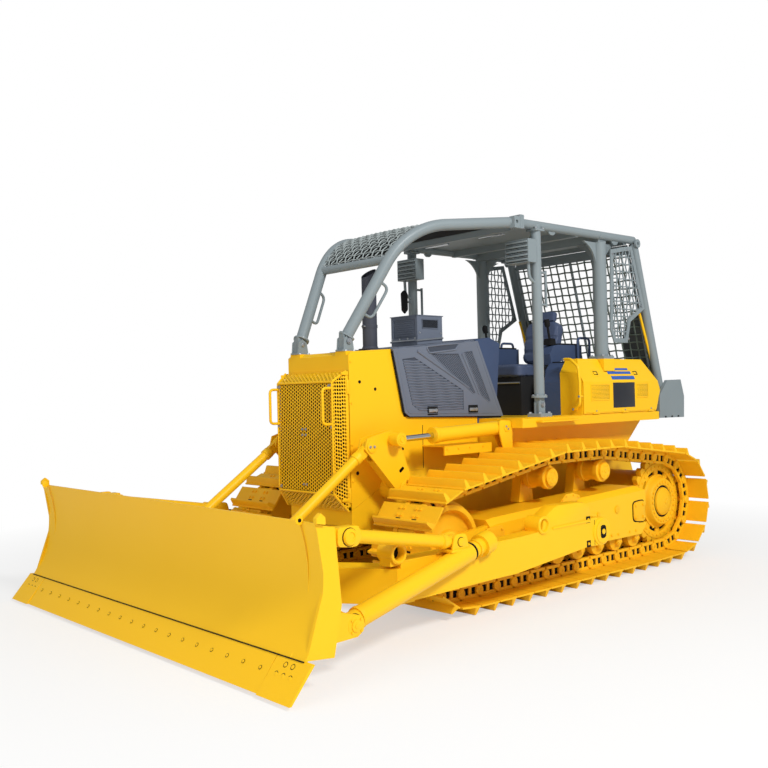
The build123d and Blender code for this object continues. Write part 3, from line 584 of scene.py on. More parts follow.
# grab handles, the studs in the middle and the bolts at the corners
low, high = grilleFacts["handleZ"]
for x in (-grilleFacts["handleX"], grilleFacts["handleX"]):
    hoop = bent([(x, -3462, low), (x, -3553, low), (x, -3553, high), (x, -3462, high)], 34)
    put(bm, tubeShape(hoop, 11, 12))
    bolts(bm, [(x, fy, z) for z in (low - 22, high + 22)], (0, -1, 0), 9, 2)
bolts(bm, [(x, fy - 1, z) for x in (-318, 318) for z in (900, 1696)], (0, -1, 0), 11, 2)
studs = [(x, fy - 3, z) for x in (-22, 22) for z in (1318, 1362)] + [(x, fy - 3, 930) for x in (-18, 18)]
bolts(bm, studs, (0, -1, 0), 9, 2)
for x in (-385, 385):
    for z0, z1, y0 in ((1772, 1802, -3405), (808, 838, -3420)):
        put(bm, plateShape("x", [(y0, z0 + 6), (y0, z1 - 6), (-3337, z1), (-3337, z0)], x - 5, x + 5, 2))
for z in (800, 1630):
    put(bm, rodShape((386, -3345, z), (386, -3345, z + 110), 12, sides=16, bevel=1.5))
newPiece("grilleDoor", bm, ["yellowEnamel", "deepShade", "zincPlate"], "grille", ["grille_door"])

# Guard and skirt: bolts, blank holes, the panel's seam, the canopy feet's bolts

guardFacts = {"x": 385, "flangeBolts": (1880, 1560, 1240, 960), "skirtBolts": (-2530, -2400, -2260, -2100),
              "holes": ((-3222, 1722, 13, 16), (-3062, 1664, 13, 16), (-3250, 1108, 12, 16), (-2780, 1180, 12, 16),
                        (-3262, 1020, 15, 20))}
bm = bmesh.new()
x = guardFacts["x"]
bolts(bm, [(x, -3310, z) for z in guardFacts["flangeBolts"]], (1, 0, 0), 9, 0)
bolts(bm, [(640, y, 1172) for y in guardFacts["skirtBolts"]], (1, 0, 0), 9, 0)
# the blank holes are dark discs of painted shade
for y, z, radius, sides in guardFacts["holes"]:
    disc(bm, x - 1, x + 2, y, z, radius, 1, sides)
put(bm, boxShape((x - 1, -2553, 1010), (x + 1, -2547, 1362)), 1)
bolts(bm, [(x, y, 1962) for x in (238, 342) for y in (-3312, -3230)], (0, 0, 1), 12, 2)
mirrorAcross(bm)
newPiece("guardFittings", bm, ["yellowEnamel", "deepShade", "zincPlate"], "chassis")

# Lift linkage: bosses, pins and chromed rods

liftFacts = {"pivot": (-2960, 880), "strutPin": (-3310, 1230), "rodPin": (-3105, 1277), "bladePin": (-4250, 582),
             "eye": Vector((682, -3105, 1277)), "barrelPin": Vector((682, -1920, 1319)),
             "strutTip": Vector((572, -3310, 1230)), "strutFoot": Vector((572, -4250, 582))}
rodLength = (liftFacts["eye"] - liftFacts["barrelPin"]).length
rodRun = (liftFacts["barrelPin"] - liftFacts["eye"]).normalized()
strutRun = (liftFacts["strutFoot"] - liftFacts["strutTip"]).normalized()
for label, side in (("left", 1), ("right", -1)):
    bm = bmesh.new()
    for low, high, pin, radius in ((611, 624, "pivot", 78), (518, 524, "pivot", 66), (611, 619, "strutPin", 46)):
        disc(bm, low, high, *liftFacts[pin], radius, 0, 36, 3)
    disc(bm, 611, 636, *liftFacts["rodPin"], 44, 0, 32, 3)
    disc(bm, 622, 630, *liftFacts["pivot"], 40, 1, 28, 3)
    bolts(bm, ringOf(3, 24, 629, *liftFacts["pivot"], 0.5), (1, 0, 0), 8, 1)
    bolts(bm, [(619, -3290, 1230), (619, -3330, 1230)], (1, 0, 0), 9, 1)
    # the slot is drawn as discs of painted shade
    for part in range(4):  # a dark slot through the outer plate
        disc(bm, 608, 611.8, -3022 + 8 * part, 1031 + 6 * part, 13, 2, 20)
    newPiece("crankBosses." + label, bm, ["yellowEnamel", "zincPlate", "deepShade"], "bell_crank_" + label,
             (), side)

    eye, pin = liftFacts["eye"], liftFacts["barrelPin"]
    bm = bmesh.new()
    put(bm, rodShape(eye, eye + rodRun * 700, 23.1, sides=32))
    newPiece("rodTube." + label, bm, ["rodChrome"], "rod_" + label, (), side)

    bm = bmesh.new()
    turned(bm, [(-41, 0), (-41, 49), (-38, 52), (38, 52), (41, 49), (41, 0)], *eye, 40)
    turned(bm, [(40, 40), (45, 38), (45, 30), (41.5, 28), (41.5, 20), (48, 18), (48, 0)], *eye, 32)
    bolts(bm, [(723, -3135, 1277)], (1, 0, 0), 6, 0)
    newPiece("rodEye." + label, bm, ["yellowEnamel", "zincPlate"], "rod_" + label, (), side)

    # the barrel's gland with its ring of small bolts
    bm = bmesh.new()
    gland = [(0.652 * rodLength, 57), (0.652 * rodLength, 66), (0.672 * rodLength, 66), (0.674 * rodLength, 60),
             (0.69 * rodLength, 60), (0.694 * rodLength, 54), (0.694 * rodLength, 24)]
    put(bm, latheShape(gland, pin, pin - rodRun * 100, 40))
    for k in range(8):
        spoke = Matrix.Rotation(math.pi * k / 4, 4, -rodRun) @ Vector((62, 0, 0))
        bolts(bm, [pin - rodRun * (0.672 * rodLength) + spoke.cross(-rodRun).normalized() * 61], -rodRun, 5, 0)
    newPiece("barrelFittings." + label, bm, ["yellowEnamel", "zincPlate"], "barrel_" + label, (), side)

    bm = bmesh.new()
    tip = liftFacts["strutTip"]
    for collar in ([(118, 37), (122, 46), (168, 46), (174, 38)], [(1010, 38), (1014, 47), (1066, 47), (1072, 38)]):
        put(bm, latheShape(collar, tip, tip + strutRun * 100, 32))
    turned(bm, [(-21, 0), (-21, 40), (-17, 54), (17, 54), (21, 40), (21, 0)], *tip)
    newPiece("strutCollars." + label, bm, ["yellowEnamel"], "lift_strut_" + label, (), side)
print("front end done")

# Blade: plough bolts, seams, corner lugs and the ears' pin heads

bladeFacts = {"edgeBolts": 19, "edgeReach": 1510, "edgeOut": Vector((0, -0.787, 0.617)), "ear": (-4449, 300),
              "fork": (-4392, 790), "endBolts": ((1700, 0.16), (1765, 0.16), (1662, 0.42), (1725, 0.42), (1788, 0.42)),
              "endSeam": ((-4821, 930), (-4790, 820), (-4770, 700), (-4768, 600), (-4777, 480), (-4808, 360),
                          (-4852, 270), (-4903, 210))}


# a dark ring and a domed head a little inside it; part is the place down the cutting edge, from 0 to 1
def ploughBolt(bm, x, part, radius):
    place = Vector((x, -4907 - 148 * part, 204 - 183 * part))
    put(bm, rodShape(place, place + bladeFacts["edgeOut"] * 1.2, radius * 1.25, sides=20), 2)
    put(bm, latheShape([(0, radius), (2.5, radius * 0.9), (5, 0)], place, place + bladeFacts["edgeOut"] * 100, 16))


bm = bmesh.new()
for x, part in bladeFacts["endBolts"]:
    ploughBolt(bm, x, part, 13.5)
disc(bm, 1716, 1728, -4838, 946, 26, 0, 24, 3)
# the lug's hole, drawn as painted shade
disc(bm, 1727, 1731, -4838, 946, 11, 2, 16)
put(bm, tubeShape([(1705, y, z) for y, z in bladeFacts["endSeam"]], 3.5, 6))
ear, fork = bladeFacts["ear"], bladeFacts["fork"]
for low, high, radius, finish, sides, bevel in ((1706, 1732, 62, 0, 36, 4), (1706, 1709, 67, 2, 36, 0),
                                                (1731, 1738, 37.2, 0, 28, 2), (1737, 1741, 15.5, 0, 16, 1)):
    disc(bm, low, high, *ear, radius, finish, sides, bevel)
bolts(bm, ringOf(4, 48, 1731, *ear, 0.8), (1, 0, 0), 8, 0)
# fork plates, pin plate and hub that take the upper brace
put(bm, boxShape((1488, -4420, 738), (1592, -4290, 842), 8))
forkPlate = [(-4380, 728), (-4480, 740), (-4480, 852), (-4330, 852), (-4290, 790), (-4330, 728)]
put(bm, plateShape("x", rounded(forkPlate, 30), 1594, 1618, 4))
disc(bm, 1616, 1620, *fork, 56, 2, 36)
turned(bm, [(0, 0), (0, 50), (10, 52), (20, 44), (22, 30), (16, 26), (16, 0)], 1616, *fork)
mirrorAcross(bm)
for k in range(bladeFacts["edgeBolts"]):
    ploughBolt(bm, bladeFacts["edgeReach"] * (2 * k / (bladeFacts["edgeBolts"] - 1) - 1), 0.4, 10)
# shadow gap between the board and its edge
put(bm, rodShape((-1830, -4907, 207), (1830, -4907, 207), 4, sides=8), 2)
newPiece("bladeBolts", bm, ["yellowEnamel", "zincPlate", "deepShade"], "push_frame_group")

# Push frame: covers over the trunnions, split caps, sockets and weld beads

pushFacts = {"x": 1440, "trunnion": (-1600, 480), "sockets": ((-3840, 600), (-2345, 612)), "capPockets": (401, 591),
             "hump": [(-2360, 560), (-2330, 664), (-2170, 742), (-1850, 738), (-1750, 700), (-1733, 566)]}
bm = bmesh.new()
x, trunnion = pushFacts["x"], pushFacts["trunnion"]
put(bm, plateShape("x", rounded(pushFacts["hump"], 60, closed=False), 1314, x - 2, 7))
put(bm, plateShape("x", [(-2236, 566), (-2228, 584), (-1760, 592), (-1750, 570)], x - 3, x + 6, 2))
turned(bm, [(0, 112), (8, 110), (14, 100), (14, 72), (8, 66), (-2, 64), (-2, 0)], x, *trunnion, 48)
# recess in the split cap, and the square pockets of its bolts, both drawn as painted shade
recess = [(-1636, 480), (-1636, 532), (-1564, 532), (-1564, 428), (-1636, 428)]
put(bm, plateShape("x", rounded(recess, 34), x - 2, x + 23), 2)
disc(bm, x + 20, x + 27, *trunnion, 22, 0, 24, 2)
for z in pushFacts["capPockets"]:
    put(bm, boxShape((x - 1, -1800, z - 26), (x + 1, -1748, z + 26)), 2)
    bolts(bm, [(x, -1774, z)], (1, 0, 0), 10, 0)
put(bm, boxShape((x - 1, -1694, 380), (x + 1, -1689, 580)), 2)
for y, z in pushFacts["sockets"]:
    turned(bm, [(-60, 46), (-2, 46), (4, 50), (4, 61), (-4, 69)], x + 10, y, z)
    disc(bm, 1320, 1390, y, z, 46.6, 2)
for z, rise in ((540, 12), (292, 8)):
    put(bm, rodShape((x - 3, -3790, z), (x - 3, -2640, z + rise), 5, sides=8))
for low in (528, 628):
    disc(bm, low, low + 10, *liftFacts["bladePin"], 44, 0, 32, 3)
disc(bm, 510, 640, *liftFacts["bladePin"], 26, 1, 24, 2)
mirrorAcross(bm)
newPiece("pushFrameFittings", bm, ["yellowEnamel", "zincPlate", "deepShade"], "push_frame_group")

# Braces: the lower one's sleeve and rings, the upper one's collars, and the clamp that ties them

braceFacts = {"low": (Vector((1650, -4449, 300)), Vector((1455, -2990, 574))),
              "high": (Vector((1540, -4376, 790)), Vector((1470, -3340, 612))), "clampPin": (-3348, 622)}
bm = bmesh.new()
start, end = braceFacts["low"]
ahead = start + (end - start).normalized() * 100
length = (end - start).length
sleeve = [(74, 40), (78, 66), (100, 69), (104, 65), (0.84 * length, 66), (0.844 * length, 40)]
put(bm, latheShape(sleeve, start, ahead, 36))
for low, radius, finish in ((0.846 * length, 64, 2), (0.885 * length, 67, 0)):
    put(bm, latheShape([(low, 50), (low + 1, radius), (low + 14, radius), (low + 15, 50)], start, ahead, 32), finish)
put(bm, latheShape([(length - 4, 80), (length + 12, 74), (length + 26, 52), (length + 30, 0)], start, ahead, 36))
start, end = braceFacts["high"]
ahead = start + (end - start).normalized() * 100
length = (end - start).length
for low, radius in ((70, 52), (length - 160, 52), (length - 60, 50)):
    put(bm, latheShape([(low, 41), (low + 3, radius), (low + 42, radius), (low + 46, 41)], start, ahead, 32))
clamp = rounded([(-3360, 556), (-3440, 556), (-3404, 676), (-3292, 676), (-3262, 556)], 46)
for x in (1410, 1518):
    put(bm, plateShape("x", clamp, x, x + 14, 2))
put(bm, boxShape((1416, -3446, 556), (1540, -3256, 576), 4))
disc(bm, 1531, 1534, *braceFacts["clampPin"], 33, 2, 28)
disc(bm, 1531, 1542, *braceFacts["clampPin"], 29, 0, 28, 3)
mirrorAcross(bm)
newPiece("braceFittings", bm, ["yellowEnamel", "zincPlate", "deepShade"], "push_frame_group")
print("push frame done")


# Engine covers: louvres, mesh fields, seam, latches and grip

# where a straight line inside an outline starts and stops, as distances along it
def crossings(outline, point, run):
    found = []
    for (ay, az), (by, bz) in zip(outline, outline[1:] + outline[:1]):
        before = (ay - point[0]) * run[1] - (az - point[1]) * run[0]
        after = (by - point[0]) * run[1] - (bz - point[1]) * run[0]
        if (before > 0) != (after > 0):
            k = before / (before - after)
            hit = (ay + k * (by - ay), az + k * (bz - az))
            found.append((hit[0] - point[0]) * run[0] + (hit[1] - point[1]) * run[1])
    found.sort()
    return list(zip(found[::2], found[1::2]))


# parallel wires over an outline in side view; each wire is drawn by place(y, z, lift)
def wires(bm, outline, angle, pitch, radius, place, crimp=0.0, step=0.0, finish=0, sides=6):
    run = (math.cos(angle), math.sin(angle))
    normal = (-run[1], run[0])
    offsets = [y * normal[0] + z * normal[1] for y, z in outline]
    count = int((max(offsets) - min(offsets)) / pitch)
    first = (min(offsets) + max(offsets) - count * pitch) / 2
    for k in range(count + 1):
        origin = (normal[0] * (first + k * pitch), normal[1] * (first + k * pitch))
        for start, end in crossings(outline, origin, run):
            if end - start < radius * 3:
                continue
            pieces = max(1, round((end - start) / step)) if step else 1
            marks = []
            for i in range(pieces * (2 if crimp else 1) + 1):
                along = start + (end - start) * i / (pieces * (2 if crimp else 1))
                lift = crimp * math.cos(math.pi * (along / step + k)) if crimp else 0.0
                marks.append(place(origin[0] + run[0] * along, origin[1] + run[1] * along, lift))
            put(bm, tubeShape(marks, radius, sides), finish)


coverFacts = {
    "louvreField": [(-2790, 1900), (-2650, 1915), (-2080, 1640), (-2080, 1475), (-2600, 1475), (-2690, 1530)],
    "longField": [(-2460, 1945), (-2130, 1950), (-1930, 1620), (-1960, 1610)],
    "rearField": [(-2060, 1965), (-1960, 1975), (-1735, 1545), (-1760, 1535), (-1850, 1590)],
    "seam": [(-2880, 1972), (-2790, 1566), (-2772, 1478), (-2722, 1442), (-1576, 1410)]}
for label, side in (("left", 1), ("right", -1)):
    bm = bmesh.new()
    field = coverFacts["louvreField"]
    put(bm, plateShape("x", field, 409.4, 410.2), 1)
    for row in range(19):
        z = 1488 + 22 * row
        for start, end in crossings(field, (0, z), (1, 0)):
            if end - start > 60:
                count = max(4, int((end - start) / 22))
                wave = [(411, start + 8 + (end - start - 16) * i / count, z + 1.8 * math.sin(i * 0.9))
                        for i in range(count + 1)]
                put(bm, tubeShape(wave, 6.5, 8), 0)
                put(bm, boxShape((408, start + 6, z - 12), (411, end - 6, z)), 0)
    for name in ("longField", "rearField"):
        outline = coverFacts[name]
        put(bm, plateShape("x", outline, 409.2, 410.2), 1)
        for angle in (0.65, -0.85):
            wires(bm, outline, angle, 17, 2.4, lambda y, z, lift: (412, y, z), finish=2, sides=5)
        put(bm, tubeShape([(414, y, z) for y, z in outline], 5, 8, closed=True))
    # raised ribs that run down and back between the fields
    for start, end in (((-2620, 1968), (-2010, 1660)), ((-2085, 1952), (-1880, 1600))):
        put(bm, rodShape((413, *start), (413, *end), 13, 9, sides=12))
    put(bm, tubeShape(bent([(400, y - 4, z - 5) for y, z in coverFacts["seam"]], 60), 8, 10), 3)
    put(bm, tubeShape(bent([(414, y, z) for y, z in ((-2850, 1955), (-2770, 1590), (-2745, 1475), (-2700, 1462),
                                                          (-1610, 1432), (-1895, 2035))], 40), 4, 8))
    # latches: a cup, a turning handle and its screw
    for y, z in ((-2458, 1478), (-1963, 1474)):
        put(bm, boxShape((413, y - 60, z - 38), (417, y + 60, z + 38), 1.8), 3)
        put(bm, boxShape((415, y - 46, z - 14), (424, y + 22, z + 14), 3), 4)
        disc(bm, 416, 426, y + 36, z, 16, 4, 20, 2)
    # rounded grip pocket under the hood line
    grip = rounded([(-2300, 2026), (-2520, 2004), (-2480, 1952), (-2170, 1984), (-2110, 2040)], 26)
    put(bm, plateShape("x", grip, 413.5, 415.6), 1)
    put(bm, tubeShape([(416, y, z) for y, z in grip], 8, 8, closed=True))
    newPiece("coverPanels." + label, bm, ["slateEnamel", "slateShade", "slateEnamel", "blackRubber", "zincPlate"],
             "cover_" + label, (), side)

# Side box lids: louvres, stripes, blank plate and latches

lidFacts = {"slope": ((870, 1690), (745, 1905)), "plate": (-530, 1445, -170, 1680),
            "stripes": ((1806, 11, -20), (1772, 14, 0), (1724, 19, 24)),
            "louvres": ((-880, 1520, -590, 1665), (-140, 1535, 60, 1668))}
(slopeX, slopeZ), (topX, topZ) = lidFacts["slope"]
slopeRun = Vector((topX - slopeX, 0, topZ - slopeZ)).normalized()
slopeOut = Vector((slopeRun.z, 0, -slopeRun.x))


def onSlope(y, z, lift):
    return Vector((slopeX, y, slopeZ)) + slopeRun * ((z - slopeZ) / slopeRun.z) + slopeOut * lift


slopeFrame = Matrix((slopeOut, (0, 1, 0), slopeRun)).transposed().to_4x4()
for label, side in (("left", 1), ("right", -1)):
    bm = bmesh.new()
    # three stripes across the sloping face, each with slanted ends
    for z, tall, slip in lidFacts["stripes"]:
        stripe = [(slip - 548, -tall), (slip - 168, -tall), (slip - 162, tall), (slip - 542, tall)]
        put(bm, plateShape("x", stripe, -0.5, 2.4), 1, Matrix.Translation(onSlope(0, z, 0)) @ slopeFrame)
    y0, z0, y1, z1 = lidFacts["plate"]
    put(bm, boxShape((869, y0, z0), (871.6, y1, z1), 0.9), 2)
    # behind each louvre, a dark plate of painted shade
    for y0, z0, y1, z1 in lidFacts["louvres"]:
        put(bm, boxShape((869.2, y0, z0), (870.4, y1, z1)), 3)
        for z in range(z0 + 8, z1 - 4, 12):
            slat = plateShape("x", [(y0 + 4, -5), (y1 - 4, -5), (y1 - 4, 5), (y0 + 4, 5)], -1.2, 1.2, 0.6)
            put(bm, slat, 0, Matrix.Translation((871.4, 0, z)) @ Matrix.Rotation(0.12, 4, "Y"))
        put(bm, tubeShape([(871, y0, z0), (871, y1, z0), (871, y1, z1), (871, y0, z1)], 4, 8, closed=True))
    # latch pockets on the slope, their floors drawn as painted shade
    for y in (-745, -90):
        place = Matrix.Translation(onSlope(0, 1768, 0)) @ slopeFrame
        put(bm, plateShape("x", [(y - 52, -36), (y + 52, -36), (y + 52, 36), (y - 52, 36)], -0.5, 2.6, 1), 0, place)
        put(bm, plateShape("x", [(y - 32, -20), (y + 32, -20), (y + 32, 20), (y - 32, 20)], 2.2, 3.1), 3, place)
        put(bm, plateShape("x", [(y - 30, -14), (y + 12, -14), (y + 12, 10), (y - 30, 10)], 2.4, 8, 2), 0, place)
    bolts(bm, [(870, y, 1424) for y in (-800, -340, 110)], (1, 0, 0), 7, 5)
    put(bm, rodShape((869, -960, 1414), (869, 195, 1414), 5, sides=8))
    lidFinishes = ["yellowEnamel", "stripeBlue", "plateDark", "deepShade", "blackEnamel", "zincPlate"]
    newPiece("lidPanels." + label, bm, lidFinishes, "lid_" + label, (), side)

# Deck: handrails, tread strips, the front posts' yokes, the rear plates' notches

deckFacts = {"railX": 866, "railY": -1046, "treadX": 760, "stepX": 905, "postX": 771, "postY": -1500, "plateX": 845}
bm = bmesh.new()
railY, railX, postX, postY = (deckFacts[key] for key in ("railY", "railX", "postX", "postY"))
rail = bent([(700, -1040, 1900), (772, railY, 1898), (852, railY, 1830), (868, railY, 1690), (railX, railY, 1490),
             (800, -1040, 1446)], 55)
put(bm, tubeShape(rail, 13, 12))
for x, z in ((700, 1900), (railX, 1560), (800, 1446)):
    put(bm, rodShape((x, railY, z), (x - 8, -1000, z), 12, sides=14))
    bolts(bm, [(x, railY - 12, z)], (0, -1, 0), 9, 1)
# ribbed step outside the deck, and ridged strips to tread on
x = deckFacts["stepX"]
put(bm, boxShape((x - 36, -1680, 1352), (x + 36, -1150, 1364), 3))
for y in range(-1670, -1160, 26):
    put(bm, boxShape((x - 32, y, 1362), (x + 32, y + 9, 1369), 2))
x = deckFacts["treadX"]
for y in range(-1830, -1040, 34):
    put(bm, boxShape((x - 95, y, 1390), (x + 95, y + 12, 1396), 2))
put(bm, boxShape((860, -1850, 1316), (868, 240, 1386), 2))
# yoke, pin and flange at the front post's foot
yoke = [(postY - 42, 1424), (postY - 42, 1520), (postY, 1568), (postY + 42, 1520), (postY + 42, 1424)]
for x in (744, 786):
    put(bm, plateShape("x", yoke, x, x + 12), 3)
disc(bm, 736, 806, postY, 1500, 20, 1, 20, 2)
bolts(bm, [(806, postY, 1500)], (1, 0, 0), 18, 1)
bolts(bm, [(x, postY + y, 1425) for x in (718, 824) for y in (-62, 62)], (0, 0, 1), 14, 1)
flange = [(postX + 54 * math.cos(angle), postY + 54 * math.sin(angle), 1580) for angle in (0.4, 1.97, 3.54, 5.1)]
bolts(bm, flange, (0, 0, 1), 9, 1)
# the notches are dark slits of painted shade
for y in (400, 520, 640):  # notches in the lower edge of the plates at the ends of the rear beam
    put(bm, boxShape((deckFacts["plateX"] - 1, y, 1320), (deckFacts["plateX"] + 1, y + 30, 1338)), 2)
bolts(bm, [(x, y, 1930) for x in (668, 796) for y in (-567, -433)], (0, 0, 1), 15, 1)
mirrorAcross(bm)
newPiece("deckFittings", bm, ["yellowEnamel", "zincPlate", "deepShade", "canopyEnamel"], "chassis")

bracketFacts = {"pin": (-1920, 1319),
                "cheek": [(-1862, 1240), (-1862, 1376), (-2010, 1384), (-2010, 1270), (-1962, 1132), (-1862, 1132)]}
bm = bmesh.new()
put(bm, plateShape("x", rounded(bracketFacts["cheek"], 30), 736, 750, 3))
disc(bm, 749, 756, *bracketFacts["pin"], 36, 0, 28, 3)
bolts(bm, [(756, -1932, 1330), (756, -1908, 1308)], (1, 0, 0), 8, 1)
put(bm, boxShape((608, -1864, 1132), (728, -1858, 1308)))
bolts(bm, [(x, -1864, z) for x in (612, 650) for z in (1150, 1220)], (0, -1, 0), 12, 1)
mirrorAcross(bm)
newPiece("cylinderBracketPins", bm, ["yellowEnamel", "zincPlate"], "chassis")
print("covers and deck done")


# Canopy: crimped mesh, gussets, feet and handles

canopyFacts = {"low": (290, -3262, 2080), "knee": (486, -2770, 2960), "high": (771, -1762, 3055), "bend": 700}


# the bent tube's centre line on one side, evenly stepped, as (point, distance along it)
def canopyLine(facts):
    low, knee, high = (Vector(facts[key]) for key in ("low", "knee", "high"))
    inward, outward = (knee - low).normalized(), (high - knee).normalized()
    half = inward.angle(outward) / 2
    trim = facts["bend"] * math.tan(half)
    start, end = knee - inward * trim, knee + outward * trim
    centre = knee + (outward - inward).normalized() * (facts["bend"] / math.cos(half))
    path = [low + (start - low) * k / 20 for k in range(20)]
    for k in range(21):
        spoke = (start - centre).normalized().slerp((end - centre).normalized(), k / 20)
        path.append(centre + spoke * facts["bend"])
    path += [end + (high - end) * k / 30 for k in range(1, 31)]
    return path


canopyPath = canopyLine(canopyFacts)
runs = [0.0]
for a, b in zip(canopyPath, canopyPath[1:]):
    runs.append(runs[-1] + (b - a).length)


def canopyAt(distance):
    for k in range(len(runs) - 1):
        if runs[k + 1] >= distance:
            part = (distance - runs[k]) / (runs[k + 1] - runs[k])
            return canopyPath[k].lerp(canopyPath[k + 1], part), (canopyPath[k + 1] - canopyPath[k]).normalized()
    return canopyPath[-1].copy(), (canopyPath[-1] - canopyPath[-2]).normalized()


bm = bmesh.new()
meshStart, meshEnd = 0.3505 * runs[-1] + 30, 0.985 * runs[-1]
rows = int((meshEnd - meshStart) / 56)
wireRadius, crimpHeight, meshLift = 5.2, 7.0, 24.0
for k in range(rows + 1):
    point, run = canopyAt(meshStart + (meshEnd - meshStart) * k / rows)
    lift = Vector((0, -run.z, run.y)).normalized()
    half = point.x - 26
    count = 2 * int(half / 54)
    marks = []
    for i in range(count * 2 + 1):
        x = -half + 2 * half * i / (count * 2)
        bulge = meshLift + 12 * (1 - (x / half) ** 2)
        crimp = crimpHeight * math.cos(math.pi * (x / 56 + k))
        marks.append(Vector((x, point.y, point.z)) + lift * (bulge + crimp))
    put(bm, tubeShape(marks, wireRadius, 5))
for column in range(-13, 14):
    x = column * 56
    marks = []
    for k in range(rows * 2 + 1):
        point, run = canopyAt(meshStart + (meshEnd - meshStart) * k / (rows * 2))
        if abs(x) > point.x - 26:
            continue
        lift = Vector((0, -run.z, run.y)).normalized()
        bulge = meshLift + 12 * (1 - (x / (point.x - 26)) ** 2)
        crimp = crimpHeight * math.cos(math.pi * (column + k / 2))
        marks.append(Vector((x, point.y, point.z)) + lift * (bulge - crimp))
    if len(marks) > 3:
        put(bm, tubeShape(marks, wireRadius, 5))
# flat strips that clamp the mesh to the tubes
for side in (1, -1):
    strip = []
    for k in range(25):
        point, run = canopyAt(meshStart + (meshEnd - meshStart) * k / 24)
        strip.append((side * (point.x - 30), point.y, point.z + 30))
    put(bm, tubeShape(strip, 9, 8), 1)
newPiece("canopyMesh", bm, ["paleWire", "canopyEnamel"], "chassis")
print("canopy mesh done")

# The canopy's joints: gussets, feet, grab handles, saddles, tabs, bolted flanges

canopyTrim = {"crossTube": (-2921, 2690), "railX": 771, "postY": -1500, "lampX": 688}
bm = bmesh.new()
y, z = canopyTrim["crossTube"]
for rise in (1, -1):
    put(bm, plateShape("x", [(y, z), (y + 46 * rise, z + 118 * rise), (y + 18 * rise, z + 30)], 388, 396))
fork = [(-3330, 1975), (-3322, 2060), (-3285, 2086), (-3240, 2060), (-3226, 1975)]
for x in (246, 322):
    put(bm, plateShape("x", fork, x, x + 12))
disc(bm, 236, 344, -3280, 2040, 17, 1, 20, 2)
bolts(bm, [(344, -3280, 2040)], (1, 0, 0), 19, 1)
foot = Vector(canopyFacts["low"])
run = (Vector(canopyFacts["knee"]) - foot).normalized()
put(bm, latheShape([(0, 0), (0, 64), (14, 66), (18, 48)], foot - run * 6, foot + run * 94, 32))
a, b = foot + run * 230, foot + run * 520
away = Vector((0.12, 0.82, -0.5)).normalized() * 118
put(bm, tubeShape(bent([a, a + away, b + away, b], 50), 12, 12))
x, y = canopyTrim["railX"], canopyTrim["postY"]
put(bm, boxShape((x - 55, y - 60, 3002), (x + 55, y + 60, 3022), 4))
bolts(bm, [(x + i, y + j, 3022) for i in (-43, 43) for j in (-48, 48)], (0, 0, 1), 12, 1)
tab = [(-62, 3044), (62, 3044), (44, 3008), (22, 2992), (-22, 2992), (-44, 3008)]
for y in (-1276, -301):
    put(bm, plateShape("x", [(y + j, z) for j, z in tab], x - 9, x + 9, 3))
for y, towards in ((-1772, -1), (-1723, 1)):
    bolts(bm, [(x + i, y, 3055 + j) for i in (-44, 44) for j in (-44, 44)], (0, towards, 0), 11, 1)
put(bm, latheShape([(0, 38), (2, 42), (7, 42), (9, 38)], (x, -578, 3060), (x, -478, 3060), 32))
put(bm, tubeShape(bent([(x, -1540, 2560), (x, -1600, 2600), (x, -1606, 2726)], 60), 14, 10))
mirrorAcross(bm)
for x in range(-360, 361, 90):
    bolts(bm, [(x, -2934, 2722)], (0, -0.35, 0.94), 8, 1)
newPiece("canopyFittings", bm, ["canopyEnamel", "zincPlate"], "chassis")

# Lamps: silvered bowls behind slats, roof lights, and the folded work mirror on the right
bm = bmesh.new()
for x in (628, 747):
    bowl = [(0, 0), (0, 40), (26, 56), (30, 58), (34, 56), (34, 52)]
    put(bm, latheShape(bowl, (x, -1590, 2825), (x, -1690, 2825), 32))
    put(bm, latheShape([(30, 52), (33, 30), (34, 0)], (x, -1590, 2825), (x, -1690, 2825), 32), 1)
x = canopyTrim["lampX"]
put(bm, boxShape((x - 118, -1558, 2735), (x + 118, -1554, 2915)), 3)
for z in range(2750, 2903, 38):
    put(bm, boxShape((x - 118, -1668, z - 9), (x + 118, -1650, z + 9), 3), 3)
put(bm, boxShape((200, -1604, 3010), (480, -1560, 3030), 5), 1)
mirrorAcross(bm)
mirror = [(-1650, 2400), (-1690, 2430), (-1696, 2600), (-1650, 2640), (-1610, 2600), (-1610, 2440)]
put(bm, plateShape("x", rounded(mirror, 30), -742, -726, 4), 4)
put(bm, rodShape((-734, -1640, 2520), (-760, -1520, 2520), 9, sides=12), 3)
newPiece("lampBowls", bm, ["canopyEnamel", "lampSilver", "deepShade", "canopyEnamel", "blackEnamel"], "chassis")

# Side and rear screens

screenFacts = {"side": [(-416, 2928), (-230, 2964), (-74, 2986), (120, 2403), (-128, 2274), (-188, 2071),
                        (-390, 2067), (-446, 2180)],
               "rear": [(-714, 2948), (714, 2948), (714, 1530), (-714, 1530)],
               "shadeSheet": [(420, 1540), (730, 1540), (742, 2420), (560, 2330), (440, 2120)]}
bm = bmesh.new()
for side in (1, -1):
    outline = screenFacts["side"]
    wires(bm, outline, 0.0, 72, 6.5, lambda y, z, lift: (side * 804 + lift, y, z + lift * 0.3), 7, 55, 0)
    wires(bm, outline, math.pi / 2, 55, 6.5, lambda y, z, lift: (side * 804 - lift, y, z), 7, 72, 0)
    for y, z in ((-400, 2900), (-150, 2960), (80, 2420), (-160, 2100), (-420, 2190)):
        bolts(bm, [(side * 812, y, z)], (side, 0, 0), 9, 1)
newPiece("sideMesh", bm, ["canopyEnamel", "zincPlate"], "chassis")

bm = bmesh.new()


def onRear(x, z, lift):
    part = (2960 - z) / 1440
    return Vector((x, 40 + part * 420 + lift, z))


